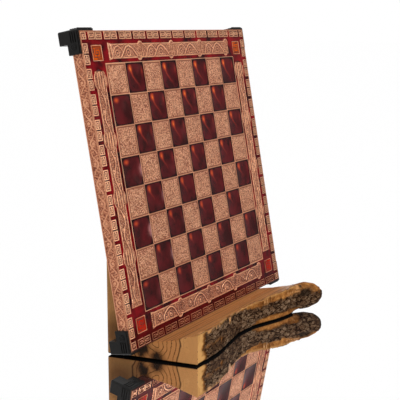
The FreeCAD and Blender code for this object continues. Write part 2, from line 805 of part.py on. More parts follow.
for item in doc.Objects:
    if "Invalid" in item.State or "Error" in item.State:
        raise RuntimeError("%s was not built" % item.Label)
for node in nodes:
    if node.Shape.isNull() or not node.Shape.isValid():
        raise RuntimeError("%s has no sound shape" % node.Label)

os.makedirs("parts", exist_ok=True)
for node in nodes:
    node.Shape.exportStep("parts/%s.step" % node.Label)
    print("%-22s %3d solids %12.1f mm3" % (node.Label, len(node.Shape.Solids), node.Shape.Volume))
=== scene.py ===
import json
import logging
import math
from dataclasses import dataclass, field
from enum import Enum
from typing import Callable, ClassVar, Sequence

import bpy
import numpy as np
from mathutils import Matrix, Vector, noise

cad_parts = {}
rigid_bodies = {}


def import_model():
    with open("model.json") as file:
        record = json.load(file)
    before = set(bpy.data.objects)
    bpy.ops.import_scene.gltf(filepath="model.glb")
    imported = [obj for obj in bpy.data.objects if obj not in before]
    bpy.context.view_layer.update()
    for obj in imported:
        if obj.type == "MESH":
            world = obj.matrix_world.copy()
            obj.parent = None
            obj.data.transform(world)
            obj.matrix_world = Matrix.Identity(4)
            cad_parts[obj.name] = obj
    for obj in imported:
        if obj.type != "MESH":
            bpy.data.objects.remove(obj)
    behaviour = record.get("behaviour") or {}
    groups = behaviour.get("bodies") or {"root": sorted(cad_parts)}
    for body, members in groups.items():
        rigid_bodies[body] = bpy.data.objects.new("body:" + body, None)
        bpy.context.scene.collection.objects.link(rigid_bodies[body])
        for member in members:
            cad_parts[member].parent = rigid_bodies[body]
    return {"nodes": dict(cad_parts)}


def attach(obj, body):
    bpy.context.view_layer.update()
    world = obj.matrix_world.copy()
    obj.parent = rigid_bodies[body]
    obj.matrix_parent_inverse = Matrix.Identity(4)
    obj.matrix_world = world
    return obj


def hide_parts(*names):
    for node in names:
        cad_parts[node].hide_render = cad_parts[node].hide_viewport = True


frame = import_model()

log = logging.getLogger("chess_board")
MM = 0.001


class Side(Enum):
    """The four sides of the board, as quarter turns anticlockwise from the lower one."""

    BOTTOM = 0
    RIGHT = 1
    TOP = 2
    LEFT = 3


@dataclass(frozen=True)
class BoardFrame:
    """Where the flat board stands: X along its lower edge, Y up the board, Z out of its face."""

    side: float = 360.0
    thickness: float = 14.5
    lean: float = 10.5
    edge_height: float = 22.8
    edge_ahead: float = 6.6
    rail: float = 1.4
    border: float = 37.7
    relief: float = 1.6
    squares: int = 8

    def matrix(self, quarter_turns: int = 0) -> Matrix:
        """Give the matrix from flat millimetres to the frame's metres.

        Args:
            quarter_turns: turns about the board's middle, anticlockwise.

        Returns:
            The matrix that stands a flat piece in its place.
        """
        half = self.side / 2
        turn = Matrix.Translation((half, half, 0)) @ Matrix.Rotation(math.pi / 2 * quarter_turns, 4, "Z")
        turn = Matrix.Translation((-half, 0, 0)) @ turn @ Matrix.Translation((-half, -half, 0))
        lean = Matrix.Rotation(math.radians(90 - self.lean), 4, "X")
        edge = Matrix.Translation((0, -self.edge_ahead, self.edge_height))
        return Matrix.Scale(MM, 4) @ edge @ lean @ turn

    @property
    def square(self) -> float:
        """Side of one square of the playing field."""
        return (self.side - 2 * self.border) / self.squares


BOARD = BoardFrame()


# Colour and nodes


def linear(colour: str) -> tuple[float, float, float, float]:
    """Turn an sRGB hex colour into linear values.

    Args:
        colour: six hex digits after a hash sign.

    Returns:
        Red, green, blue and full alpha.
    """
    parts = [int(colour[i:i + 2], 16) / 255 for i in (1, 3, 5)]
    values = [c / 12.92 if c <= 0.04045 else ((c + 0.055) / 1.055) ** 2.4 for c in parts]
    return (values[0], values[1], values[2], 1.0)


def add_node(tree: bpy.types.NodeTree, kind: str, inputs: dict | None = None, **settings: object) -> bpy.types.Node:
    """Add a shader node with its settings, values and links.

    Args:
        tree: the node tree.
        kind: the node's type, without the ShaderNode in front.
        inputs: socket names or numbers, with a value or the output socket to link.
        settings: the node's own properties.

    Returns:
        The new node.
    """
    node = tree.nodes.new("ShaderNode" + kind)
    for name, value in settings.items():
        setattr(node, name, value)
    for name, value in (inputs or {}).items():
        socket = node.inputs[name]
        if isinstance(value, bpy.types.NodeSocket):
            tree.links.new(value, socket)
        else:
            socket.default_value = value
    return node


def new_material(name: str) -> tuple[bpy.types.Material, bpy.types.NodeTree]:
    """Start an empty node material.

    Args:
        name: the finish.

    Returns:
        The material and its node tree, with nothing in it.
    """
    material = bpy.data.materials.new(name)
    material.use_nodes = True
    material.node_tree.nodes.clear()
    return material, material.node_tree


def ramp(tree: bpy.types.NodeTree, value: bpy.types.NodeSocket, stops: Sequence[tuple[float, str]]) -> bpy.types.NodeSocket:
    """Map a value to colours.

    Args:
        tree: the node tree.
        value: the socket to read.
        stops: positions from 0 to 1 with their sRGB hex colours.

    Returns:
        The colour socket.
    """
    node = add_node(tree, "ValToRGB", {"Fac": value})
    elements = node.color_ramp.elements
    while len(elements) < len(stops):
        elements.new(0.5)
    for element, (position, colour) in zip(elements, stops):
        element.position = position
        element.color = linear(colour)
    return node.outputs["Color"]


def finish_material(tree: bpy.types.NodeTree, shader: bpy.types.NodeSocket) -> None:
    """Link a shader to the material's output."""
    add_node(tree, "OutputMaterial", {"Surface": shader})


def board_coordinates(tree: bpy.types.NodeTree) -> bpy.types.NodeSocket:
    """Give coordinates in millimetres on the flat board, so that patterns lean with it.

    Args:
        tree: the node tree.

    Returns:
        A vector socket whose Z is the height above the board's face.
    """
    place = add_node(tree, "TexCoord")
    moved = add_node(tree, "VectorMath", {0: place.outputs["Object"], 1: (0.0, BOARD.edge_ahead * MM, -BOARD.edge_height * MM)}, operation="ADD")
    angle = -math.radians(90 - BOARD.lean)
    turned = add_node(tree, "VectorRotate", {"Vector": moved.outputs[0], "Axis": (1.0, 0.0, 0.0), "Angle": angle})
    scaled = add_node(tree, "VectorMath", {0: turned.outputs[0], 3: 1000.0}, operation="SCALE")
    return scaled.outputs[0]


@dataclass(frozen=True)
class RoseCopper:
    """Rose copper sheet, embossed from behind: bright on its raised lines, patinated below."""

    bright: str = "#FDC39B"
    middle: str = "#C07C5C"
    patina_and_shade: str = "#6E2A1A"
    residue: str = "#480A08"
    painted_glint: str = "#FFE6C8"
    roughness: float = 0.36
    punch: float = 1.5

    def build(self) -> bpy.types.Material:
        """Make the copper, with a punched grain where a piece is stippled."""
        material, tree = new_material("rose_copper_embossed")
        place = board_coordinates(tree)
        relief = add_node(tree, "Attribute", attribute_name="relief").outputs["Fac"]
        grain = add_node(tree, "Attribute", attribute_name="grain").outputs["Fac"]
        cloud = add_node(tree, "TexNoise", {"Vector": place, "Scale": 0.06, "Detail": 4.0}).outputs["Fac"]
        worn = add_node(tree, "MapRange", {"Value": cloud, "From Min": 0.3, "From Max": 0.7, "To Min": 0.86, "To Max": 1.04}).outputs[0]
        value = add_node(tree, "Math", {0: relief, 1: worn}, operation="MULTIPLY").outputs[0]
        # The punch marks are drawn about half as coarse again as the real ones, so that they show.
        dots = add_node(tree, "TexVoronoi", {"Vector": place, "Scale": 1.0 / self.punch}, feature="F1").outputs["Distance"]
        speck = add_node(tree, "TexNoise", {"Vector": place, "Scale": 0.9, "Detail": 3.0}).outputs["Fac"]
        dots = add_node(tree, "Math", {0: dots, 1: speck}, operation="MULTIPLY").outputs[0]
        pit = add_node(tree, "MapRange", {"Value": dots, "From Min": 0.1, "From Max": 0.42}).outputs[0]
        pit = add_node(tree, "Math", {0: pit, 1: grain}, operation="MULTIPLY").outputs[0]
        shade = add_node(tree, "Math", {0: pit, 1: 0.66}, operation="MULTIPLY").outputs[0]
        value = add_node(tree, "Math", {0: value, 1: shade}, operation="SUBTRACT").outputs[0]
        # Painted highlight: between the punch marks the sheet is lit nearly yellow, as glints on its high points; red
        # resin stays in the deepest lines.
        painted_glint = add_node(tree, "MapRange", {"Value": dots, "From Min": 0.14, "From Max": 0.04, "To Max": 0.8}).outputs[0]
        painted_glint = add_node(tree, "Math", {0: painted_glint, 1: grain}, operation="MULTIPLY").outputs[0]
        colour = ramp(tree, value, ((0.0, self.residue), (0.14, self.patina_and_shade), (0.48, self.middle), (0.95, self.bright)))
        colour = add_node(tree, "Mix", {0: painted_glint, 6: colour, 7: linear(self.painted_glint)}, data_type="RGBA").outputs[2]
        bump = add_node(tree, "Bump", {"Height": pit, "Strength": 0.8, "Distance": 0.0005}, invert=True).outputs[0]
        rough = add_node(tree, "MapRange", {"Value": value, "To Min": self.roughness + 0.25, "To Max": self.roughness}).outputs[0]
        # The patina in the grooves is an oxide: it is less of a metal than the rubbed copper.
        metal = add_node(tree, "MapRange", {"Value": value, "From Max": 0.45, "To Min": 0.25}).outputs[0]
        inputs = {"Base Color": colour, "Metallic": metal, "Roughness": rough, "Normal": bump}
        finish_material(tree, add_node(tree, "BsdfPrincipled", inputs).outputs[0])
        return material


@dataclass(frozen=True)
class ResinEnamel:
    """Clear tinted resin poured into a copper pocket: deep colour under a wet gloss."""

    name: str
    deep: str
    thin: str
    painted_glow: str = ""
    upper: str = ""
    lower: str = ""
    tint: str = "#FF8C7C"
    roughness: float = 0.12
    shine: float = 0.5

    def build(self) -> bpy.types.Material:
        """Make the enamel: clouded resin, with painted shade towards the lower edge and, where a caustic colour is
        given, a painted caustic and highlight and painted shade at the walls.
        """
        material, tree = new_material(self.name)
        place = board_coordinates(tree)
        cloud = add_node(tree, "TexNoise", {"Vector": place, "Scale": 0.04, "Detail": 3.0, "Roughness": 0.6}).outputs["Fac"]
        colour = ramp(tree, cloud, ((0.38, self.deep), (0.62, self.thin)))
        if self.upper:
            up = add_node(tree, "SeparateXYZ", {0: place}).outputs["Y"]
            share = add_node(tree, "MapRange", {"Value": up, "From Min": 60.0, "From Max": 300.0}).outputs[0]
            colour = add_node(tree, "Mix", {0: share, 6: colour, 7: linear(self.upper)}, data_type="RGBA").outputs[2]
        if self.lower:
            # Painted shade: the resin darkens towards the lower edge, where the channel lies in shade.
            down = add_node(tree, "SeparateXYZ", {0: place}).outputs["Y"]
            share = add_node(tree, "MapRange", {"Value": down, "From Min": 13.0, "From Max": 30.0, "To Min": 0.7, "To Max": 0.0}).outputs[0]
            colour = add_node(tree, "Mix", {0: share, 6: colour, 7: linear(self.lower)}, data_type="RGBA").outputs[2]
        # Painted light: on the dished squares the grain attribute carries a painted caustic and highlight, which turn
        # the resin orange and pink.
        if self.painted_glow:
            thin = add_node(tree, "Attribute", attribute_name="grain").outputs["Fac"]
            painted_glow_colour = ramp(tree, thin, ((0.0, self.thin), (0.4, "#8A2A1C"), (0.85, self.painted_glow), (1.0, "#E87A2E")))
            share = add_node(tree, "MapRange", {"Value": thin, "From Max": 0.3}).outputs[0]
            mixed = add_node(tree, "Mix", {0: share, 6: colour, 7: painted_glow_colour}, data_type="RGBA")
            # Painted shade: near the pocket's walls the resin turns nearly black, the shade of the copper walls over
            # it.
            rim = add_node(tree, "Attribute", attribute_name="relief").outputs["Fac"]
            rim = add_node(tree, "MapRange", {"Value": rim, "From Min": 0.42, "From Max": 0.62, "To Max": 0.85}).outputs[0]
            colour = add_node(tree, "Mix", {0: rim, 6: mixed.outputs[2], 7: linear("#12060A")}, data_type="RGBA").outputs[2]
        inputs = {"Base Color": colour, "Roughness": self.roughness, "IOR": 1.45, "Specular Tint": linear(self.tint), "Specular IOR Level": self.shine}
        finish_material(tree, add_node(tree, "BsdfPrincipled", inputs).outputs[0])
        return material


@dataclass(frozen=True)
class PlainFinish:
    """A plain material with a fine grain: cast black metal, felt, rubber, fibreboard or leatherette."""

    name: str
    colour: str
    light: str
    roughness: float
    grain: float
    depth: float
    metallic: float = 0.0
    shine: float = 0.5

    def build(self) -> bpy.types.Material:
        """Make the finish, with its grain in millimetres."""
        material, tree = new_material(self.name)
        place = add_node(tree, "TexCoord").outputs["Object"]
        speck = add_node(tree, "TexNoise", {"Vector": place, "Scale": 1000.0 / self.grain, "Detail": 3.0}).outputs["Fac"]
        colour = ramp(tree, speck, ((0.3, self.colour), (0.7, self.light)))
        bump = add_node(tree, "Bump", {"Height": speck, "Strength": 0.5, "Distance": self.depth * MM}).outputs[0]
        inputs = {"Base Color": colour, "Roughness": self.roughness, "Metallic": self.metallic, "Normal": bump, "Specular IOR Level": self.shine}
        finish_material(tree, add_node(tree, "BsdfPrincipled", inputs).outputs[0])
        return material


@dataclass(frozen=True)
class OliveWood:
    """Oiled olive wood with its bark: growth rings round the log's heart, sawn or along the grain."""

    sapwood: str = "#C68E57"
    sapwood_dark: str = "#B07C48"
    heartwood: str = "#BA7C48"
    pith: str = "#4E2A14"
    line: str = "#32180B"
    heart: tuple[float, float] = (-10.0, 20.0)
    heart_radius: float = 30.0
    knot: tuple[float, float] = (-11.5, 4.0)
    second_knot: tuple[float, float] = (6.0, 13.0)
    stain_and_shade: tuple[float, float] = (37.0, 27.0)
    ring: float = 5.2

    def build(self) -> bpy.types.Material:
        """Make the wood, whose rings run along X round the heart."""
        material, tree = new_material("olive_wood_oiled")
        place = add_node(tree, "VectorMath", {0: add_node(tree, "TexCoord").outputs["Object"], 3: 1000.0}, operation="SCALE").outputs[0]
        fibre_place = add_node(tree, "Mapping", {"Vector": place, "Scale": (0.03, 1.0, 1.0)}).outputs[0]
        fibre = add_node(tree, "TexNoise", {"Vector": fibre_place, "Scale": 0.9, "Detail": 4.0}).outputs["Fac"]
        # Sawn ends show the fibres' tips, which are too fine to see.
        facing = add_node(tree, "SeparateXYZ", {0: add_node(tree, "NewGeometry").outputs["Normal"]}).outputs["X"]
        facing = add_node(tree, "Math", {0: facing}, operation="ABSOLUTE").outputs[0]
        along = add_node(tree, "MapRange", {"Value": facing, "From Min": 0.5, "From Max": 0.8, "To Min": 1.0, "To Max": 0.0}).outputs[0]
        timber = self.timber(tree, place, fibre, along)
        colour, rough, bump = self.bark(tree, place, timber, fibre)
        inputs = {"Base Color": colour, "Roughness": rough, "Normal": bump, "Specular IOR Level": 0.22, "Specular Tint": linear("#DCA878")}
        shader = add_node(tree, "BsdfPrincipled", inputs).outputs[0]
        # Painted shade: below about 3 mm the block turns into a near-black diffuse, the shade in the gap under it.
        height = add_node(tree, "SeparateXYZ", {0: place}).outputs["Z"]
        sole = add_node(tree, "MapRange", {"Value": height, "From Min": 2.4, "From Max": 3.3, "To Min": 1.0, "To Max": 0.0}).outputs[0]
        stain_and_shade = add_node(tree, "BsdfDiffuse", {"Color": linear("#0A0705")}).outputs[0]
        finish_material(tree, add_node(tree, "MixShader", {0: sole, 1: shader, 2: stain_and_shade}).outputs[0])
        return material

    def from_axis(self, tree: bpy.types.NodeTree, place: bpy.types.NodeSocket, axis: tuple[float, float]) -> bpy.types.NodeSocket:
        """Give the distance from a line along X.

        Args:
            tree: the node tree.
            place: coordinates in millimetres.
            axis: the line's Y and Z.

        Returns:
            The distance in millimetres.
        """
        moved = add_node(tree, "VectorMath", {0: place, 1: (0.0, axis[0], axis[1])}, operation="SUBTRACT").outputs[0]
        across = add_node(tree, "VectorMath", {0: moved, 1: (0.0, 1.0, 1.0)}, operation="MULTIPLY").outputs[0]
        return add_node(tree, "VectorMath", {0: across}, operation="LENGTH").outputs["Value"]

    def timber(self, tree: bpy.types.NodeTree, place: bpy.types.NodeSocket, fibre: bpy.types.NodeSocket, along: bpy.types.NodeSocket) -> bpy.types.NodeSocket:
        """Colour the wood: brown heartwood in dark rings, a dark line round it, plain sapwood outside.

        Args:
            tree: the node tree.
            place: coordinates in millimetres.
            fibre: the fine grain along X.
            along: 1 where the surface lies along the grain, 0 on a sawn end.

        Returns:
            The wood's colour.
        """
        long_place = add_node(tree, "Mapping", {"Vector": place, "Scale": (0.2, 1.0, 1.0)}).outputs[0]
        warp = add_node(tree, "TexNoise", {"Vector": long_place, "Scale": 0.04, "Detail": 2.0}).outputs["Color"]
        warp = add_node(tree, "VectorMath", {0: warp, 1: (0.5, 0.5, 0.5)}, operation="SUBTRACT").outputs[0]
        warp = add_node(tree, "VectorMath", {0: warp, 3: 11.0}, operation="SCALE").outputs[0]
        bent = add_node(tree, "VectorMath", {0: place, 1: warp}, operation="ADD").outputs[0]
        away = self.from_axis(tree, bent, self.heart)
        rings = add_node(tree, "Math", {0: away, 1: 2.0 / self.ring}, operation="MULTIPLY").outputs[0]
        rings = add_node(tree, "Math", {0: fibre, 1: 0.6, 2: rings}, operation="MULTIPLY_ADD").outputs[0]
        saw = add_node(tree, "Math", {0: rings, 1: 1.0}, operation="PINGPONG").outputs[0]
        line = add_node(tree, "MapRange", {"Value": saw, "From Max": 0.3, "To Min": 1.0, "To Max": 0.0}, interpolation_type="SMOOTHSTEP").outputs[0]
        bold = add_node(tree, "TexNoise", {"Vector": long_place, "Scale": 0.06, "Detail": 2.0}).outputs["Fac"]
        bold = add_node(tree, "MapRange", {"Value": bold, "From Min": 0.35, "From Max": 0.62, "To Min": 0.3, "To Max": 0.95}).outputs[0]
        radius = self.heart_radius
        inner = add_node(tree, "MapRange", {"Value": away, "From Min": radius - 1.0, "From Max": radius + 3.0, "To Min": 1.0, "To Max": 0.12}).outputs[0]
        bold = add_node(tree, "Math", {0: bold, 1: inner}, operation="MULTIPLY").outputs[0]
        line = add_node(tree, "Math", {0: line, 1: bold}, operation="MULTIPLY").outputs[0]
        bound = add_node(tree, "Math", {0: away, 1: radius}, operation="SUBTRACT").outputs[0]
        bound = add_node(tree, "Math", {0: bound}, operation="ABSOLUTE").outputs[0]
        bound = add_node(tree, "MapRange", {"Value": bound, "From Min": 0.3, "From Max": 1.3, "To Min": 0.85, "To Max": 0.0}).outputs[0]
        line = add_node(tree, "Math", {0: line, 1: bound}, operation="MAXIMUM").outputs[0]
        shown = add_node(tree, "Mix", {0: along, 2: 0.6, 3: fibre}).outputs[0]
        body = ramp(tree, shown, ((0.3, self.sapwood_dark), (0.65, self.sapwood)))
        inside = add_node(tree, "MapRange", {"Value": away, "From Min": radius - 2.0, "From Max": radius + 0.5, "To Min": 0.75, "To Max": 0.0}).outputs[0]
        body = add_node(tree, "Mix", {0: inside, 6: body, 7: linear(self.heartwood)}, data_type="RGBA").outputs[2]
        near = add_node(tree, "Math", {0: self.from_axis(tree, bent, self.knot), 1: self.from_axis(tree, bent, self.second_knot)}, operation="MINIMUM").outputs[0]
        old = add_node(tree, "MapRange", {"Value": near, "From Min": 5.0, "From Max": 13.0, "To Min": 0.85, "To Max": 0.0}).outputs[0]
        # Behind the board the old heartwood is darkened to the pith colour: partly its own dark wood, partly painted
        # shade from the board and foot.
        stain_and_shade = add_node(tree, "MapRange", {"Value": self.from_axis(tree, bent, self.stain_and_shade), "From Min": 10.0, "From Max": 30.0, "To Min": 0.7, "To Max": 0.0}).outputs[0]
        old = add_node(tree, "Math", {0: old, 1: stain_and_shade}, operation="MAXIMUM").outputs[0]
        body = add_node(tree, "Mix", {0: old, 6: body, 7: linear(self.pith)}, data_type="RGBA").outputs[2]
        streak_place = add_node(tree, "Mapping", {"Vector": place, "Scale": (0.01, 0.2, 0.5)}).outputs[0]
        # Planed along the grain, the rings come out as long thin lines: the levels of a stretched noise.
        streak = add_node(tree, "TexNoise", {"Vector": streak_place, "Scale": 0.5, "Detail": 2.0}).outputs["Fac"]
        streak = add_node(tree, "Math", {0: streak, 1: 6.0}, operation="MULTIPLY").outputs[0]
        streak = add_node(tree, "Math", {0: streak, 1: 1.0}, operation="PINGPONG").outputs[0]
        streak = add_node(tree, "MapRange", {"Value": streak, "From Max": 0.45, "To Min": 0.8, "To Max": 0.0}, interpolation_type="SMOOTHSTEP").outputs[0]
        streak = add_node(tree, "Math", {0: streak, 1: along}, operation="MULTIPLY").outputs[0]
        line = add_node(tree, "Math", {0: line, 1: streak}, operation="MAXIMUM").outputs[0]
        wood = add_node(tree, "Mix", {0: line, 6: body, 7: linear(self.line)}, data_type="RGBA").outputs[2]
        blot = add_node(tree, "TexNoise", {"Vector": place, "Scale": 0.16, "Detail": 4.0}).outputs["Fac"]
        blot = add_node(tree, "Math", {0: blot, 1: 14.0, 2: near}, operation="MULTIPLY_ADD").outputs[0]
        blot = add_node(tree, "MapRange", {"Value": blot, "From Min": 10.5, "From Max": 14.5, "To Min": 0.97, "To Max": 0.0}).outputs[0]
        return add_node(tree, "Mix", {0: blot, 6: wood, 7: linear("#140A06")}, data_type="RGBA").outputs[2]

    def bark(self, tree: bpy.types.NodeTree, place: bpy.types.NodeSocket, wood: bpy.types.NodeSocket, fibre: bpy.types.NodeSocket) -> tuple:
        """Lay the cambium and the bark over the wood where the log's outside is left.

        Args:
            tree: the node tree.
            place: coordinates in millimetres.
            wood: the wood's colour.
            fibre: the wood's fine grain.

        Returns:
            Colour, roughness and normal.
        """
        natural, patch, furrow, pale_wood_and_highlight = [add_node(tree, "Attribute", attribute_name=name).outputs["Fac"] for name in ("natural", "patch", "furrow", "pale_wood_and_highlight")]
        mottle = add_node(tree, "TexNoise", {"Vector": place, "Scale": 0.12, "Detail": 5.0, "Roughness": 0.65}).outputs["Fac"]
        cambium = ramp(tree, mottle, ((0.32, "#5A3214"), (0.5, "#8E592A"), (0.68, "#B67E42")))
        # Painted highlight along the ledge's top edge, and the pale wood beside the saw cut.
        cambium = add_node(tree, "Mix", {0: pale_wood_and_highlight, 6: cambium, 7: linear("#D3A061")}, data_type="RGBA").outputs[2]
        # Plates of 4 to 6 mm that lean along the log, with black cracks between them.
        leaning = add_node(tree, "Mapping", {"Vector": place, "Rotation": (0.0, 0.6, 0.0), "Scale": (0.42, 0.8, 1.0)}).outputs[0]
        crumb = add_node(tree, "TexNoise", {"Vector": leaning, "Scale": 0.34, "Detail": 5.0, "Roughness": 0.68, "Distortion": 0.6}).outputs["Fac"]
        flake = add_node(tree, "TexNoise", {"Vector": leaning, "Scale": 1.1, "Detail": 4.0, "Roughness": 0.6}).outputs["Fac"]
        crumb = add_node(tree, "Mix", {0: 0.4, 2: crumb, 3: flake}).outputs[0]
        scale = add_node(tree, "TexVoronoi", {"Vector": leaning, "Scale": 0.2}, feature="DISTANCE_TO_EDGE").outputs["Distance"]
        scale = add_node(tree, "Math", {0: crumb, 1: 0.5, 2: scale}, operation="MULTIPLY_ADD").outputs[0]
        scale = add_node(tree, "MapRange", {"Value": scale, "From Min": 0.24, "From Max": 0.36, "To Min": 0.55}, interpolation_type="SMOOTHSTEP").outputs[0]
        field_tone = add_node(tree, "TexNoise", {"Vector": place, "Scale": 0.05, "Detail": 2.0}).outputs["Fac"]
        field_tone = add_node(tree, "MapRange", {"Value": field_tone, "From Min": 0.35, "From Max": 0.65, "To Min": 0.85, "To Max": 1.1}).outputs[0]
        tone = add_node(tree, "Math", {0: crumb, 1: scale}, operation="MULTIPLY").outputs[0]
        tone = add_node(tree, "Math", {0: tone, 1: field_tone}, operation="MULTIPLY").outputs[0]
        cork = ramp(tree, tone, ((0.3, "#1E1109"), (0.41, "#472E1D"), (0.5, "#70523A"), (0.62, "#A6886B")))
        cork = add_node(tree, "Mix", {0: add_node(tree, "Math", {0: furrow, 1: 0.85}, operation="MULTIPLY").outputs[0], 6: cork, 7: linear("#1C120C")}, data_type="RGBA").outputs[2]
        colour = add_node(tree, "Mix", {0: natural, 6: wood, 7: cambium}, data_type="RGBA").outputs[2]
        colour = add_node(tree, "Mix", {0: patch, 6: colour, 7: cork}, data_type="RGBA").outputs[2]
        rough = add_node(tree, "MapRange", {"Value": natural, "To Min": 0.38, "To Max": 0.92}).outputs[0]
        rising = add_node(tree, "Math", {0: tone, 1: patch}, operation="MULTIPLY").outputs[0]
        low = add_node(tree, "Math", {0: fibre, 1: 0.12, 2: rising}, operation="MULTIPLY_ADD").outputs[0]
        bump = add_node(tree, "Bump", {"Height": low, "Strength": 1.0, "Distance": 0.007}).outputs[0]
        return colour, rough, bump


@dataclass
class Finishes:
    """Every finish of the part, made once."""

    copper: bpy.types.Material = field(init=False)
    red: bpy.types.Material = field(init=False)
    maroon: bpy.types.Material = field(init=False)
    orange: bpy.types.Material = field(init=False)
    black: bpy.types.Material = field(init=False)
    steel: bpy.types.Material = field(init=False)
    core: bpy.types.Material = field(init=False)
    cover: bpy.types.Material = field(init=False)
    felt: bpy.types.Material = field(init=False)
    rubber: bpy.types.Material = field(init=False)
    wood: bpy.types.Material = field(init=False)

    def __post_init__(self) -> None:
        """Build the materials."""
        self.copper = RoseCopper().build()
        # The red's lower colour is painted shade towards the board's lower edge.
        self.red = ResinEnamel("red_resin_enamel", "#2A0408", "#7E0B13", lower="#35060A", roughness=0.05, shine=0.3).build()
        # The maroon's third colour is the painted caustic and highlight.
        self.maroon = ResinEnamel("maroon_resin_enamel", "#2E090B", "#521015", "#C24E1E", shine=0.38).build()
        self.orange = ResinEnamel("orange_resin_enamel", "#9A1404", "#BC1E06", upper="#C04E0C", roughness=0.05, shine=0.15).build()
        self.black = PlainFinish("black_cast_metal_satin", "#090807", "#151210", 0.38, 2.2, 0.3, shine=0.18).build()
        self.steel = PlainFinish("blackened_steel", "#303030", "#4A4A4A", 0.35, 0.8, 0.02, 1.0).build()
        self.core = PlainFinish("fibreboard", "#9A7B58", "#B2936D", 0.9, 1.0, 0.1).build()
        self.cover = PlainFinish("black_leatherette", "#191817", "#262423", 0.55, 1.5, 0.25).build()
        self.felt = PlainFinish("black_felt", "#1A1A1A", "#2C2B2A", 0.98, 0.6, 0.2).build()
        self.rubber = PlainFinish("soft_rubber", "#202020", "#2A2A2A", 0.6, 0.8, 0.02).build()
        self.wood = OliveWood().build()


NODE_FINISH = {
    "face_plate": "copper", "core_panel": "core", "back_cover": "cover",
    "side_rail_bottom": "copper", "side_rail_right": "copper", "side_rail_top": "copper", "side_rail_left": "copper",
    "playing_field": "copper", "dark_square_enamel": "maroon",
    "key_border_bottom": "copper", "key_border_right": "copper", "key_border_top": "copper", "key_border_left": "copper",
    "frieze_bottom": "copper", "frieze_top": "copper", "frieze_right": "copper", "frieze_left": "copper",
    "medallions": "copper", "medallion_enamel": "orange", "channel_enamel": "red",
    "foot_bottom_left": "black", "foot_bottom_right": "black", "foot_top_right": "black", "foot_top_left": "black",
    "foot_felts": "felt", "stand_block": "wood", "stand_bumpers": "rubber",
}


def dress_nodes(finishes: Finishes) -> None:
    """Give every CAD node its procedural material."""
    for name, finish in NODE_FINISH.items():
        data = frame["nodes"][name].data
        data.materials.clear()
        data.materials.append(getattr(finishes, finish))
        log.info("dressed %s in %s", name, finish)


# Modelling helpers


def begin() -> None:
    """Leave edit mode and deselect everything, because operators act on all that is selected."""
    if bpy.context.object and bpy.context.object.mode != "OBJECT":
        bpy.ops.object.mode_set(mode="OBJECT")
    bpy.ops.object.select_all(action="DESELECT")


def select_faces(piece: bpy.types.Object, wanted: Callable[[bpy.types.MeshPolygon], bool]) -> None:
    """Select the faces of a piece that a test picks, and go into edit mode.

    Args:
        piece: the active piece.
        wanted: whether a face is to be selected.
    """
    bpy.ops.object.mode_set(mode="EDIT")
    bpy.ops.mesh.select_mode(type="FACE")
    bpy.ops.mesh.select_all(action="DESELECT")
    bpy.ops.object.mode_set(mode="OBJECT")
    for face in piece.data.polygons:
        face.select = wanted(face)
    bpy.ops.object.mode_set(mode="EDIT")


def extrude(distance: float) -> None:
    """Extrude the selected faces straight up, or down with a minus sign."""
    bpy.ops.mesh.extrude_region_move(TRANSFORM_OT_translate={"value": (0.0, 0.0, distance)})


def block(name: str, low: Sequence[float], high: Sequence[float]) -> bpy.types.Object:
    """Add a cube between two corners, with its place in its mesh.

    Args:
        name: the piece's name.
        low: lowest corner in millimetres.
        high: highest corner.

    Returns:
        The block, active and alone selected.
    """
    begin()
    centre = [(a + b) / 2 for a, b in zip(low, high)]
    bpy.ops.mesh.primitive_cube_add(size=1, location=centre, scale=[b - a for a, b in zip(low, high)])
    bpy.ops.object.transform_apply(location=True, rotation=True, scale=True)
    bpy.context.object.name = name
    return bpy.context.object


def bevel(piece: bpy.types.Object, width: float, segments: int = 1) -> None:
    """Round a piece's sharp edges with a modifier and apply it."""
    modifier = piece.modifiers.new("bevel", "BEVEL")
    modifier.width, modifier.segments = width, segments
    modifier.limit_method, modifier.angle_limit = "ANGLE", math.radians(35)
    bpy.ops.object.modifier_apply(modifier=modifier.name)


def copies(piece: bpy.types.Object, places: Sequence[Matrix], name: str) -> bpy.types.Object:
    """Copy a modelled piece to several places, each with its own mesh, and join the copies.

    Args:
        piece: the model, which is used up.
        places: one matrix for each copy.
        name: the joined piece's name.

    Returns:
        The joined piece.
    """
    made = []
    for place in places:
        copy = bpy.data.objects.new(name, piece.data.copy())
        copy.data.transform(place)
        bpy.context.scene.collection.objects.link(copy)
        made.append(copy)
    bpy.data.objects.remove(piece)
    return join(made, name)


def join(pieces: Sequence[bpy.types.Object], name: str) -> bpy.types.Object:
    """Join pieces into one."""
    begin()
    for piece in pieces:
        piece.select_set(True)
    bpy.context.view_layer.objects.active = pieces[0]
    if len(pieces) > 1:
        bpy.ops.object.join()
    joined = bpy.context.object
    joined.name = joined.data.name = name
    return joined


def mark(piece: bpy.types.Object, name: str, values: np.ndarray) -> None:
    """Store one number for each vertex, which the finish reads.

    Args:
        piece: the mesh.
        name: the attribute.
        values: one value for each vertex.
    """
    layer = piece.data.attributes.get(name) or piece.data.attributes.new(name, "FLOAT", "POINT")
    layer.data.foreach_set("value", np.asarray(values, np.float32))


def points_of(piece: bpy.types.Object) -> np.ndarray:
    """Give a mesh's vertices as rows of X, Y and Z."""
    flat = np.zeros(len(piece.data.vertices) * 3)
    piece.data.vertices.foreach_get("co", flat)
    return flat.reshape(-1, 3)


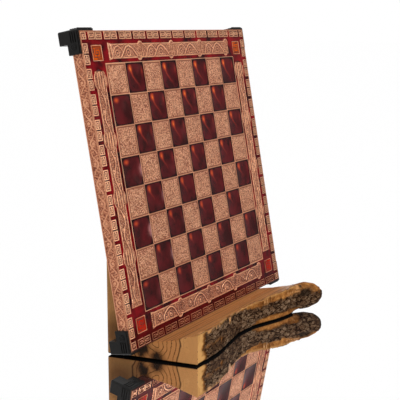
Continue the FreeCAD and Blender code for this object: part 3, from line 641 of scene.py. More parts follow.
def stand_in_place(piece: bpy.types.Object, place: Matrix, body: str, nodes: Sequence[str] = ()) -> bpy.types.Object:
    """Move a flat piece's mesh to its place in the frame and hand it over.

    Args:
        piece: the finished piece, at the origin.
        place: matrix from flat millimetres to metres.
        body: the CAD body that it rides on.
        nodes: the CAD nodes that it stands for.

    Returns:
        The piece.
    """
    piece.data.transform(place)
    piece.data.update()
    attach(piece, body)
    if nodes:
        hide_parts(*nodes)
    log.info("made %s with %d faces", piece.name, len(piece.data.polygons))
    return piece


def smooth(piece: bpy.types.Object, angle: float = 40.0) -> None:
    """Shade a piece smooth but for its sharper edges."""
    begin()
    piece.select_set(True)
    bpy.context.view_layer.objects.active = piece
    bpy.ops.object.shade_smooth_by_angle(angle=math.radians(angle))


@dataclass
class Emboss:
    """A sheet pushed up from behind: a fine grid whose heights follow a drawing."""

    left: float
    low: float
    right: float
    high: float
    pitch: float
    back: float
    dim: float = 1.0

    def build(self, name: str, drawing: Callable[[np.ndarray, np.ndarray], tuple[np.ndarray, np.ndarray]]) -> bpy.types.Object:
        """Make the sheet as a closed body.

        Args:
            name: the piece's name.
            drawing: gives height in millimetres and grain from 0 to 1 at each point.

        Returns:
            The piece, flat in its own millimetres.
        """
        begin()
        across, up = self.right - self.left, self.high - self.low
        centre = ((self.left + self.right) / 2, (self.low + self.high) / 2, 0)
        steps = (max(2, round(across / self.pitch)), max(2, round(up / self.pitch)))
        bpy.ops.mesh.primitive_grid_add(x_subdivisions=steps[0], y_subdivisions=steps[1], size=1)
        sheet = bpy.context.object
        sheet.data.transform(Matrix.Translation(centre) @ Matrix.Diagonal((across, up, 1, 1)))
        points = points_of(sheet)
        height, grain = drawing(points[:, 0], points[:, 1])
        points[:, 2] = height
        sheet.data.vertices.foreach_set("co", points.ravel())
        mark(sheet, "relief", 1 - self.dim * (1 - np.clip((height + 0.75) / 0.7, 0, 1)))
        mark(sheet, "grain", grain)
        bpy.ops.object.mode_set(mode="EDIT")
        bpy.ops.mesh.select_mode(type="EDGE")
        bpy.ops.mesh.select_all(action="DESELECT")
        bpy.ops.mesh.select_non_manifold()
        bpy.ops.mesh.extrude_edges_move(TRANSFORM_OT_translate={"value": (0.0, 0.0, -1.0)})
        bpy.ops.mesh.edge_face_add()
        bpy.ops.object.mode_set(mode="OBJECT")
        points = points_of(sheet)
        count = len(height)
        points[count:, 2] = self.back
        sheet.data.vertices.foreach_set("co", points.ravel())
        sheet.name = sheet.data.name = name
        smooth(sheet)
        return sheet


# Drawing in relief


def ridge(distance: np.ndarray, width: float) -> np.ndarray:
    """A rounded ridge, 1 on its line and 0 beyond half its width."""
    return np.clip(1 - (2 * distance / width) ** 2, 0, 1)


def near_line(x: np.ndarray, y: np.ndarray, points: Sequence[tuple[float, float]]) -> np.ndarray:
    """Give the distance to a line of points.

    Args:
        x: places across.
        y: places up.
        points: the line's corners.

    Returns:
        The distance at each place.
    """
    best = np.full(x.shape, 1e9)
    for (x0, y0), (x1, y1) in zip(points, points[1:]):
        length = (x1 - x0) ** 2 + (y1 - y0) ** 2
        share = np.clip(((x - x0) * (x1 - x0) + (y - y0) * (y1 - y0)) / length, 0, 1)
        best = np.minimum(best, np.hypot(x - x0 - share * (x1 - x0), y - y0 - share * (y1 - y0)))
    return best


def scroll(x: np.ndarray, y: np.ndarray, centre: tuple[float, float], radius: float, pitch: float, turn: float = 0.0, hand: int = 1) -> np.ndarray:
    """Give the distance to a spiral that winds in on its centre.

    Args:
        x: places across.
        y: places up.
        centre: the spiral's eye.
        radius: its outer radius.
        pitch: distance between two windings.
        turn: where it starts, in turns.
        hand: 1 winds anticlockwise, -1 clockwise.

    Returns:
        The distance at each place, large outside the spiral.
    """
    away = np.hypot(x - centre[0], y - centre[1])
    around = np.arctan2(y - centre[1], x - centre[0]) / (2 * math.pi) * hand + turn
    winding = away / pitch - around
    distance = np.abs(winding - np.round(winding)) * pitch
    return np.where(away > radius, 1e3, np.minimum(distance, np.maximum(away - 0.3 * pitch, 0)))


def repeated(x: np.ndarray, start: float, pitch: float, count: int) -> tuple[np.ndarray, np.ndarray]:
    """Give each place's own panel: how far it is into the panel, and the panel's number."""
    number = np.clip(np.floor((x - start) / pitch), 0, count - 1)
    return x - start - number * pitch, number


# The board's pieces


@dataclass
class Frieze:
    """One long panel of the border: stippled ground, raised ornament, cap and posts."""

    start: float = 46.4
    low: float = 15.5
    width: float = 16.7
    panels: int = 4
    post_width: float = 10.0
    petal_width: float = 26.6
    set_back: float = 6.0
    petal_set_back: float = 9.5
    slant: float = 4.2
    overhang: float = 3.0
    cap: float = 7.0
    flare: float = 1.6
    ground: float = -0.6
    # Each side's pair: how much darker the hollows are, and how strong the painted shadow beside the raised lines is.
    patina_and_shade: ClassVar[dict] = {Side.BOTTOM: (0.35, 0.6), Side.RIGHT: (0.35, 0.35), Side.TOP: (0.32, 0.3), Side.LEFT: (0.35, 0.35)}

    def after_post(self, x: np.ndarray, side: Side) -> np.ndarray:
        """Give the distance past the post of each place's own panel."""
        pitch = (BOARD.side - 2 * self.start) / self.panels
        into, _number = repeated(x, self.start, pitch, self.panels)
        return into - pitch + (self.set_back if side in (Side.BOTTOM, Side.TOP) else self.petal_set_back)

    def outline(self, x: np.ndarray, y: np.ndarray, side: Side) -> tuple[np.ndarray, np.ndarray, np.ndarray]:
        """Give the depth inside the band, the cap and the posts.

        Args:
            x: places from the start of the side.
            y: places from the board's edge.
            side: which frieze it is.

        Returns:
            Depths inside the band, the cap and the posts, negative outside.
        """
        finish, high, middle = BOARD.side - self.start, self.low + self.width, self.low + self.width / 2
        band = np.minimum(np.minimum(x - self.start, finish - x), np.minimum(y - self.low, high - y))
        reach = self.width / 2 + self.flare * (1 - np.clip((x - self.start) / self.cap, 0, 1))
        cap = np.minimum(np.minimum(x - self.start, self.start + self.cap - x), reach - np.abs(y - middle))
        along = self.after_post(x, side)
        tall = self.width / 2 + self.overhang
        if side in (Side.LEFT, Side.RIGHT):
            half = self.petal_width / 2
            post = (1 - np.hypot(along / half, (y - middle) / tall)) * half
        else:
            half = self.post_width / 2
            lean = self.slant / 2 * (1 if side is Side.BOTTOM else -1)
            along = along - lean * np.clip((y - middle) / (tall - half), -1, 1)
            post = half - np.hypot(along, np.maximum(np.abs(y - middle) - tall + half, 0))
        return band, cap, post

    def ornament(self, x: np.ndarray, y: np.ndarray, side: Side, spread: float = 1.0) -> np.ndarray:
        """Draw what stands up between the posts.

        Args:
            x: places from the start of the side.
            y: places from the board's edge.
            side: which frieze it is.
            spread: how much wider than the raised lines to draw.

        Returns:
            Heights from 0 to 1 above the stippled ground.
        """
        pitch = (BOARD.side - 2 * self.start) / self.panels
        after, v = self.after_post(x, side), y - self.low - self.width / 2
        if side is Side.BOTTOM:
            return self.waves(after, v, pitch, spread)
        if side is Side.TOP:
            return self.arches(after, v, spread)
        return self.ropes(after, v, pitch, spread)

    def waves(self, after: np.ndarray, v: np.ndarray, pitch: float, spread: float) -> np.ndarray:
        """Draw the lower frieze: a wave's crest that falls to the post, curls and water beside it.

        Args:
            after: distance past the panel's post.
            v: height above the frieze's middle line.
            pitch: length of a panel.
            spread: how much wider than the raised lines to draw.

        Returns:
            Heights from 0 to 1.
        """
        crest = [(-37, -5), (-36, -1.5), (-32.5, 2), (-27, 5), (-21.5, 6.4), (-16.5, 5.2), (-12.5, 2), (-9.5, -2.4), (-7, -7.2)]
        drawn = 0.8 * ridge(near_line(after, v, crest), 2.5 * spread)
        drawn = np.maximum(drawn, 0.75 * ridge(scroll(after, v, (-21.5, -2.0), 5.2, 2.6, 0.3), 1.5 * spread))
        drawn = np.maximum(drawn, 0.75 * ridge(scroll(after, v, (-44.5, 0.5), 5.6, 2.7, 0.0, -1), 1.5 * spread))
        drawn = np.maximum(drawn, 0.7 * ridge(scroll(after, v, (-31.0, -4.0), 3.0, 2.2, 0.4), 1.3 * spread))
        beside = np.maximum(after + 7, -after - pitch + 10)
        for level in (-5.0, -1.6, 1.8, 5.2):
            ripple = np.abs(v - level - 0.8 * np.sin(after * 0.62 + level))
            drawn = np.maximum(drawn, 0.7 * ridge(ripple, 1.6 * spread) * np.clip(beside, 0, 1))
        return drawn

    def arches(self, after: np.ndarray, v: np.ndarray, spread: float) -> np.ndarray:
        """Draw the upper frieze, whose lower edge has the higher V: two arches with beads below them."""
        small = [(-55, 7), (-52.5, 1), (-48, -4.6), (-42, -6.2), (-37, -3), (-33, 1.6)]
        large = [(-38, 7), (-32.5, 1), (-27, -4.6), (-21.5, -6.4), (-15.5, -3.4), (-9.5, 2.2), (-5.5, 6.8)]
        drawn = 0.75 * np.maximum(ridge(near_line(after, v, small), 2.2 * spread), ridge(near_line(after, v, large), 2.6 * spread))
        for centre, radius in (((-44.5, 2.4), 3.7), ((-23, 1.8), 4.0)):
            away = np.hypot(after - centre[0], v - centre[1])
            drawn = np.maximum(drawn, 0.8 * np.maximum(ridge(np.abs(away - radius), 1.4 * spread), ridge(away, 3.0 * spread)))
        drawn = np.maximum(drawn, 0.8 * ridge(np.abs(after - 5.2), 1.5 * spread))
        for start, end in (((-50, -5.5), (-54, -1)), ((-31, -6.4), (-34, -3.4)), ((-12, -6.4), (-7, -2)), ((-30, 5.6), (-16, 5.6))):
            drawn = np.maximum(drawn, 0.6 * ridge(near_line(after, v, (start, end)), 1.3 * spread))
        return drawn

    def ropes(self, after: np.ndarray, v: np.ndarray, pitch: float, spread: float) -> np.ndarray:
        """Draw a side frieze: a twisted vine with curls between two rims."""
        vine = np.abs(v - 2.8 * np.sin(2 * math.pi * after / (pitch / 2))) * 0.8
        drawn = 0.75 * ridge(vine, 2.0 * spread)
        for share, sign in ((-0.3, 1), (-0.52, -1), (-0.74, 1)):
            drawn = np.maximum(drawn, 0.7 * ridge(scroll(after, v, (pitch * share, sign * 2.8), 3.5, 2.2, 0.25 * sign, sign), 1.4 * spread))
        broken = 0.72 + 0.28 * np.sin(after * 1.1 + np.sign(v))
        return np.maximum(drawn, broken * ridge(np.abs(np.abs(v) - self.width / 2 + 1.0), 2.0 * spread))

    def drawing(self, side: Side) -> Callable[[np.ndarray, np.ndarray], tuple[np.ndarray, np.ndarray]]:
        """Give the relief of one frieze.

        Args:
            side: which frieze it is.

        Returns:
            A function of place that gives height and grain.
        """
        far_end_first = side.value >= 2
        petals = side in (Side.LEFT, Side.RIGHT)

        def relief(x: np.ndarray, y: np.ndarray) -> tuple[np.ndarray, np.ndarray]:
            """Height and grain at each place."""
            x = BOARD.side - x if far_end_first else x
            band, cap, post = self.outline(x, y, side)
            drawn = self.ornament(x, y, side)
            v = y - self.low - self.width / 2
            inside = np.clip(post / 0.8, 0, 1)
            if petals:
                long = np.clip(1.3 * np.cos(v * 2 * math.pi / 4.4 + 0.6), 0, 1) * np.clip((post - 1.4) / 2.0, 0, 1)
            else:
                long = 0.55 * np.clip(np.cos(v * 2 * math.pi / 3.2), 0, 1) * (v * (1 if far_end_first else -1) > 0.5)
            drawn = drawn + (np.maximum(long, 0.5 * ridge(np.abs(post - 0.7), 1.3)) - drawn) * inside
            capital = ridge(np.abs(cap - 1.0), 1.6)
            drawn = np.where(cap > 0, np.maximum(0.35 * drawn, capital), drawn)
            depth = np.maximum(np.maximum(band, cap), post)
            edge = 0.7 * ridge(np.abs(depth - 0.6), 1.3)
            height = self.ground + 0.55 * np.maximum(drawn, edge)
            grain = np.clip(0.8 - 0.9 * drawn - edge, 0, 1)
            height = np.where(depth < 0, np.maximum(-1.5, -0.3 + depth * 2.2), np.minimum(height, 0.0))
            return height, np.where(depth < 0, 0, grain)

        return relief

    def shade(self, piece: bpy.types.Object, side: Side, dark: float) -> None:
        """Paint shadow beside the raised lines, as a darker relief mark.

        Args:
            piece: the frieze, flat.
            side: which frieze it is.
            dark: how much darker than the ground that painted shadow is.
        """
        points = points_of(piece)
        x = BOARD.side - points[:, 0] if side.value >= 2 else points[:, 0]
        beside = np.clip(2.5 * self.ornament(x, points[:, 1], side, 2.0), 0, 1)
        beside = beside * (1 - np.clip(1.8 * self.ornament(x, points[:, 1], side), 0, 1))
        relief = np.zeros(len(points), np.float32)
        piece.data.attributes["relief"].data.foreach_get("value", relief)
        mark(piece, "relief", relief - dark * beside)

    def build(self, finishes: "Finishes") -> None:
        """Make the four friezes."""
        for side in Side:
            reach = self.overhang + 0.9
            dim, dark = self.patina_and_shade[side]
            sheet = Emboss(self.start - 1.0, self.low - reach, BOARD.side - self.start + 1.0, self.low + self.width + reach, 0.55, -1.59, dim)
            piece = sheet.build("frieze_%s_embossed" % side.name.lower(), self.drawing(side))
            # Painted shadow beside the raised lines.
            self.shade(piece, side, dark)
            piece.data.materials.append(finishes.copper)
            stand_in_place(piece, BOARD.matrix(side.value), "board", ["frieze_" + side.name.lower()])


@dataclass
class KeyBorder:
    """The Greek key blocks round the edge, each of two nested squares."""

    corner: float = 12.0
    gap: float = 4.4
    blocks: int = 12
    width: float = 8.6
    split: float = 1.6
    line: float = 1.05
    fine_line: float = 0.66
    groove: float = 1.35
    depth: float = 0.75
    fill: float = 0.3

    def square(self, across: float, line: float) -> bpy.types.Object:
        """Model one key square, nested frames with a hook between them.

        Args:
            across: its length along the side.
            line: the width of its raised lines.

        Returns:
            The square with its lower left corner at the origin.
        """
        groove = self.groove + 1.5 * (self.line - line)
        piece = block("key_square", (0, 0, -BOARD.relief), (across, self.width, 0))
        select_faces(piece, lambda face: face.normal.z > 0.9)
        bpy.ops.mesh.inset(thickness=line, depth=0)
        extrude(-self.depth)
        bpy.ops.mesh.inset(thickness=groove, depth=0)
        extrude(self.depth)
        bpy.ops.mesh.inset(thickness=line * 0.8, depth=0)
        extrude(-self.depth * 0.8)
        bpy.ops.object.mode_set(mode="OBJECT")
        bevel(piece, 0.16)
        hook = block("key_hook", (across - line - groove - 0.2, self.width / 2 - 0.5, -self.depth - 0.1), (across - line + 0.2, self.width / 2 + 0.5, -0.06))
        bevel(hook, 0.1)
        bar = block("key_bar", (across / 2 - 0.55, self.width / 2 - 1.6, -self.depth), (across / 2 + 0.55, self.width / 2 + 0.1, -0.1))
        bevel(bar, 0.12)
        return join([piece, hook, bar], "key_square")

    def filling(self, across: float, line: float) -> bpy.types.Object:
        """Model the red resin that lies in the grooves of one key square."""
        low, high = line / 2, self.width - line / 2
        return block("key_resin", (low, low, -1.2), (across - low, high, self.fill - self.depth))

    def build(self, finishes: "Finishes") -> None:
        """Make the four rows, and the resin in the lower one."""
        pitch = (BOARD.side - 2 * self.corner) / self.blocks
        single = self.corner - self.gap / 2 - BOARD.rail
        across = (pitch - self.gap - self.split) / 2
        for side in Side:
            places = []
            for index in range(self.blocks):
                left = self.corner + index * pitch + self.gap / 2
                places.append(Matrix.Translation((left, BOARD.rail, 0)))
                flipped = Matrix.Translation((left + pitch - self.gap, BOARD.rail, 0)) @ Matrix.Rotation(math.pi, 4, "Z")
                places.append(flipped @ Matrix.Translation((0, -self.width, 0)))
            line = self.fine_line if side is Side.BOTTOM else self.line
            row = copies(self.square(across, line), places, "keys")
            corner = copies(self.square(single, line), [Matrix.Translation((BOARD.rail, BOARD.rail, 0))], "corner_key")
            row = join([row, corner], "key_border_%s_nested" % side.name.lower())
            height = points_of(row)[:, 2]
            # The lower row has red resin in its grooves, and painted shade darkens its raised lines; the others'
            # grooves are clean, and their lines full bright.
            least, most = (0.0, 0.6) if side is Side.BOTTOM else (0.2, 1.0)
            # The painted shade stops at the lower row's first block, which is bright again.
            worn = points_of(row)[:, 0] < self.corner + pitch
            least, most = np.where(worn, 0.15, least), np.where(worn, 1.0, most)
            mark(row, "relief", least + (most - least) * np.clip((height + 0.62) / 0.55, 0, 1))
            mark(row, "grain", np.zeros(len(height)))
            row.data.materials.append(finishes.copper)
            stand_in_place(row, BOARD.matrix(side.value), "board", ["key_border_" + side.name.lower()])
            if side is Side.BOTTOM:
                resin = copies(self.filling(across, line), places, "key_resin_bottom")
                resin.data.materials.append(finishes.red)
                stand_in_place(resin, BOARD.matrix(side.value), "board")


@dataclass
class Medallions:
    """Framed squares in the four corners, with a small key standing in orange enamel."""

    inset: float = 16.3
    side: float = 17.7
    frame: float = 0.8
    line: float = 1.35

    def drawing(self, x: np.ndarray, y: np.ndarray) -> tuple[np.ndarray, np.ndarray]:
        """Height and grain of one medallion."""
        u, v = x - self.inset - self.side / 2, y - self.inset - self.side / 2
        half = self.side / 2
        edge = half - np.maximum(np.abs(u), np.abs(v))
        key = near_line(u, v, ((-4.6, -5.6), (4.6, -5.6), (4.6, 5.6), (-4.6, 5.6), (-4.6, -2.6), (1.6, -2.6), (1.6, 2.6), (-1.6, 2.6), (-1.6, 0.4)))
        height = -0.95 + np.clip((self.frame - edge) / 0.25 + 1, 0, 1) * 0.9
        height = np.maximum(height, -0.95 + 0.6 * np.clip((self.line / 2 - key) / 0.3 + 0.7, 0, 1))
        return np.minimum(height, -0.02), np.zeros(x.shape)

    def build(self, finishes: "Finishes") -> None:
        """Make the four medallions."""
        low, high = self.inset, self.inset + self.side
        pieces = []
        for side in Side:
            sheet = Emboss(low, low, high, high, 0.3, -1.59)
            piece = sheet.build("medallion", self.drawing)
            # The lower pair is darker, and its key is dark red instead of black.
            least, most = (0.12, 0.7) if side in (Side.BOTTOM, Side.RIGHT) else (0.0, 1.0)
            mark(piece, "relief", np.maximum(least, most * np.clip((points_of(piece)[:, 2] + 0.32) / 0.25, 0, 1)))
            half = Matrix.Translation((BOARD.side / 2, BOARD.side / 2, 0))
            piece.data.transform(half @ Matrix.Rotation(math.pi / 2 * side.value, 4, "Z") @ half.inverted())
            pieces.append(piece)
        piece = join(pieces, "medallions_embossed")
        piece.data.materials.append(finishes.copper)
        stand_in_place(piece, BOARD.matrix(), "board", ["medallions"])


@dataclass
class PlayingField:
    """The 8 by 8 squares: stippled copper cushions and dished maroon enamel."""

    bead: float = 1.0
    reach: float = 0.45
    dish: float = 1.1
    fill_gap: float = 0.5

    def cushion(self, x: np.ndarray, y: np.ndarray) -> tuple[np.ndarray, np.ndarray]:
        """Height and grain of a copper square: a bright bead round a stippled cushion."""
        half = BOARD.square / 2 + self.reach
        edge = half - np.maximum(np.abs(x), np.abs(y))
        line = ridge(np.abs(edge - self.bead / 2 - 0.1), self.bead + 0.5)
        swell = np.clip((edge - 1.9) / 1.2, 0, 1)
        height = -0.6 + 0.52 * np.maximum(line, swell)
        return height, np.clip((edge - 2.0) / 0.8, 0, 1)

    def places(self, dark: bool) -> list[Matrix]:
        """Where the squares of one colour lie, column by column."""
        found = []
        for column in range(BOARD.squares):
            for row in range(BOARD.squares):
                if ((column + row) % 2 == 0) == dark:
                    centre = [BOARD.border + (index + 0.5) * BOARD.square for index in (column, row)]
                    found.append(Matrix.Translation((centre[0], centre[1], 0)))
        return found

    def frame(self) -> bpy.types.Object:
        """Model the copper line that closes the field."""
        low, high = BOARD.border - 0.9, BOARD.side - BOARD.border + 0.9
        piece = block("field_frame", (low, low, -BOARD.relief), (high, high, -0.1))
        select_faces(piece, lambda face: face.normal.z > 0.9)
        bpy.ops.mesh.inset(thickness=0.8, depth=0)
        extrude(-1.46)
        bpy.ops.object.mode_set(mode="OBJECT")
        bevel(piece, 0.2, 2)
        height = points_of(piece)[:, 2]
        mark(piece, "relief", np.clip((height + 0.9) / 0.7, 0, 1))
        mark(piece, "grain", np.zeros(len(height)))
        return piece

    def build_copper(self, finishes: "Finishes") -> None:
        """Make the copper squares and their lines."""
        half = BOARD.square / 2 + self.reach
        cushion = Emboss(-half, -half, half, half, 0.8, -1.2).build("cushion", self.cushion)
        field = join([copies(cushion, self.places(False), "cushions"), self.frame()], "playing_field_stippled")
        field.data.materials.append(finishes.copper)
        stand_in_place(field, BOARD.matrix(), "board", ["playing_field"])

    def painted_glow(self, u: np.ndarray, v: np.ndarray, column: int, row: int) -> np.ndarray:
        """Paint light into the enamel: a caustic near the upper left corner, with its thread, and a highlight at the
        right wall.

        Args:
            u: places across, -1 to 1.
            v: places up, -1 to 1.
            column: column of the square.
            row: row of the square.

        Returns:
            A value from 0 to 1 at each place.
        """
        high = row / (BOARD.squares - 1)
        long = 0.2 + 0.8 * high if column else 0.1
        wide, tall = (0.19, 0.24) if column else (0.27, 0.16)
        # Painted light: the head and its thread are a painted caustic of the lamps in the dished resin.
        head = np.exp(-((u + 0.56 - 0.14 * (0.8 - v)) / wide) ** 2 - ((v - 0.68) / tall) ** 2)
        path = [(-0.5, 0.6), (-0.3, 0.1), (-0.02, -0.22), (0.25, -0.5), (0.36, -0.82)]
        path = [(path[0][0] + (x - path[0][0]) * long, path[0][1] + (y - path[0][1]) * long) for x, y in path]
        reach = near_line(u, v, path)
        thread = np.exp(-(reach / 0.06) ** 2) + 0.35 * np.exp(-(reach / 0.2) ** 2)
        faded = np.clip((v + 1.0) / 1.6, 0.15, 1)
        # Painted highlight: a soft pinkish sheen at the right wall, where a lamp is mirrored in the dish.
        wall = np.exp(-((u - 0.76) / 0.13) ** 2 - ((v - 0.42) / 0.34) ** 2) * (0.08 + 0.2 * high if column else 0.06)
        return np.clip((0.55 + 0.3 * high) * head + 0.45 * thread * faded * long + wall, 0, 1)

    def build_enamel(self, finishes: "Finishes") -> None:
        """Make the dished enamel squares."""
        half = BOARD.square / 2 - self.fill_gap
        made = []
        for place in self.places(True):
            centre = place.to_translation()
            column, row = [int((c - BOARD.border) / BOARD.square) for c in centre[:2]]

            def dished(x: np.ndarray, y: np.ndarray) -> tuple[np.ndarray, np.ndarray]:
                """Height, and the painted caustic and highlight in the place of grain."""
                u, v = x / half, y / half
                bowl = (1 - u ** 2) * (1 - v ** 2)
                return -0.25 - self.dish * bowl, self.painted_glow(u, v, column, row)

            piece = Emboss(-half, -half, half, half, 1.2, -1.55).build("enamel", dished)
            piece.data.transform(place)
            made.append(piece)
        piece = join(made, "dark_squares_dished")
        piece.data.materials.append(finishes.maroon)
        stand_in_place(piece, BOARD.matrix(), "board", ["dark_square_enamel"])


@dataclass
class SideRails:
    """Thin copper walls round the board's edge, embossed with running scrolls."""

    rim: float = 1.3
    pitch: float = 22.5
    depth: float = 0.45

    def drawing(self, x: np.ndarray, y: np.ndarray) -> tuple[np.ndarray, np.ndarray]:
        """Height and grain, with Y from the back of the board to its face."""
        high = BOARD.thickness
        middle = high / 2
        edge = np.minimum(y, high - y)
        into, number = repeated(x, 0.0, self.pitch, int(BOARD.side / self.pitch))
        side = np.where(number % 2 == 0, 1.0, -1.0)
        v = (y - middle) * side
        stem = np.abs(v + 3.6 * np.cos(2 * math.pi * into / self.pitch)) * 0.75
        drawn = ridge(stem, 2.0)
        drawn = np.maximum(drawn, ridge(scroll(into, v, (self.pitch * 0.5, -0.6), 4.6, 2.5, 0.1), 1.6))
        for share, lean in ((0.06, 0.5), (0.2, 1.1), (0.8, -1.1), (0.94, -0.5)):
            leaf = [(self.pitch * share, 4.8), (self.pitch * share + 3.6 * lean, 0.6)]
            drawn = np.maximum(drawn, 0.85 * ridge(near_line(into, v, leaf), 1.8))
        drawn = np.maximum(drawn, 1.1 * ridge(np.abs(edge - self.rim / 2), self.rim + 0.4))
        height = -self.depth + self.depth * np.clip(drawn, 0, 1)
        return height, np.clip(0.6 - 0.6 * drawn, 0, 1)

    def build(self, finishes: "Finishes") -> None:
        """Make the four rails."""
        upright = Matrix(((1, 0, 0, 0), (0, 0, -1, 0), (0, 1, 0, -BOARD.thickness), (0, 0, 0, 1)))
        for side in Side:
            piece = Emboss(0, 0, BOARD.side, BOARD.thickness, 0.55, -BOARD.rail, 0.65).build("side_rail_%s_embossed" % side.name.lower(), self.drawing)
            self.mitre(piece)
            # The rails are only brushed: the ground between the lines stays light. The one that
            # stands on the ledge is painted dark and flat, as shade.
            level = np.clip(points_of(piece)[:, 2] / self.depth + 1, 0, 1)
            mark(piece, "relief", 0.12 + 0 * level if side is Side.BOTTOM else 0.54 + 0.16 * level)
            piece.data.materials.append(finishes.copper)
            stand_in_place(piece, BOARD.matrix(side.value) @ upright, "board", ["side_rail_" + side.name.lower()])

    def mitre(self, piece: bpy.types.Object) -> None:
        """Draw in the rail's ends at 45 degrees, so that four rails close the corner."""
        points = points_of(piece)
        inward = -points[:, 2]
        middle = BOARD.side / 2
        points[:, 0] = middle + (points[:, 0] - middle) * (middle - inward) / middle
        piece.data.vertices.foreach_set("co", points.ravel())


@dataclass
class CornerFeet:
    """Black corner feet: a raised volute on each wing and a screw in each plate."""

    wall: float = 2.6
    relief: float = 0.4
    place: float = 16.6
    depth: float = 9.25
    radius: float = 4.0
    wire: float = 0.6
    screw_place: float = 19.0
    screw_radius: float = 2.7
    plate: float = 3.0

    def volute(self) -> bpy.types.Object:
        """Model the spiral wire of one volute, flat, with its eye."""
        begin()
        curve = bpy.data.curves.new("volute", "CURVE")
        curve.dimensions = "3D"
        curve.bevel_depth, curve.bevel_resolution = self.wire, 2
        line = curve.splines.new("POLY")
        steps = 40
        line.points.add(steps)
        for index, point in enumerate(line.points):
            share = index / steps
            radius = (self.radius - self.wire) * (1 - 0.78 * share)
            turn = 2 * math.pi * 1.75 * share
            point.co = (radius * math.cos(turn), radius * math.sin(turn), 0, 1)
        wire = bpy.data.objects.new("volute", curve)
        bpy.context.scene.collection.objects.link(wire)
        wire.select_set(True)
        bpy.context.view_layer.objects.active = wire
        bpy.ops.object.convert(target="MESH")
        begin()
        bpy.ops.mesh.primitive_uv_sphere_add(segments=16, ring_count=8, radius=0.9, location=(0, 0, 0))
        eye = bpy.context.object
        eye.data.transform(Matrix.Diagonal((1, 1, 0.5, 1)))
        return join([bpy.context.scene.objects[wire.name], eye], "volute")

    def screw(self) -> bpy.types.Object:
        """Model a screw head, facing down: a flat disc with a round socket stands for the countersunk head and its
        six-sided socket.
        """
        begin()
        bpy.ops.mesh.primitive_cylinder_add(vertices=24, radius=self.screw_radius, depth=0.7, location=(0, 0, 0))
        head = bpy.context.object
        select_faces(head, lambda face: face.normal.z < -0.9)
        bpy.ops.mesh.inset(thickness=0.5, depth=0)
        bpy.ops.mesh.inset(thickness=0.8, depth=0)
        extrude(0.5)
        bpy.ops.object.mode_set(mode="OBJECT")
        bevel(head, 0.15, 2)
        return head

    def build(self, finishes: "Finishes") -> None:
        """Dress the four feet."""
        face = -self.wall - self.relief
        lower = Matrix(((1, 0, 0, self.place), (0, 0, 1, face), (0, -1, 0, -self.depth), (0, 0, 0, 1)))
        swap = Matrix(((0, 1, 0, 0), (1, 0, 0, 0), (0, 0, 1, 0), (0, 0, 0, 1)))
        for side in Side:
            name = ("bottom_left", "bottom_right", "top_right", "top_left")[side.value]
            volutes = copies(self.volute(), [lower, swap @ lower], "volutes_" + name)
            begin()
            volutes.select_set(True)
            bpy.context.view_layer.objects.active = volutes
            bpy.ops.object.mode_set(mode="EDIT")
            bpy.ops.mesh.select_all(action="SELECT")
            bpy.ops.mesh.normals_make_consistent(inside=False)
            bpy.ops.object.mode_set(mode="OBJECT")
            smooth(volutes, 50)
            volutes.data.materials.append(finishes.black)
            stand_in_place(volutes, BOARD.matrix(side.value), "board")
            sole = -BOARD.thickness - self.plate - 0.15
            screw = copies(self.screw(), [Matrix.Translation((self.screw_place, self.screw_place, sole))], "screw_" + name)
            smooth(screw)
            screw.data.materials.append(finishes.steel)
            stand_in_place(screw, BOARD.matrix(side.value), "board")


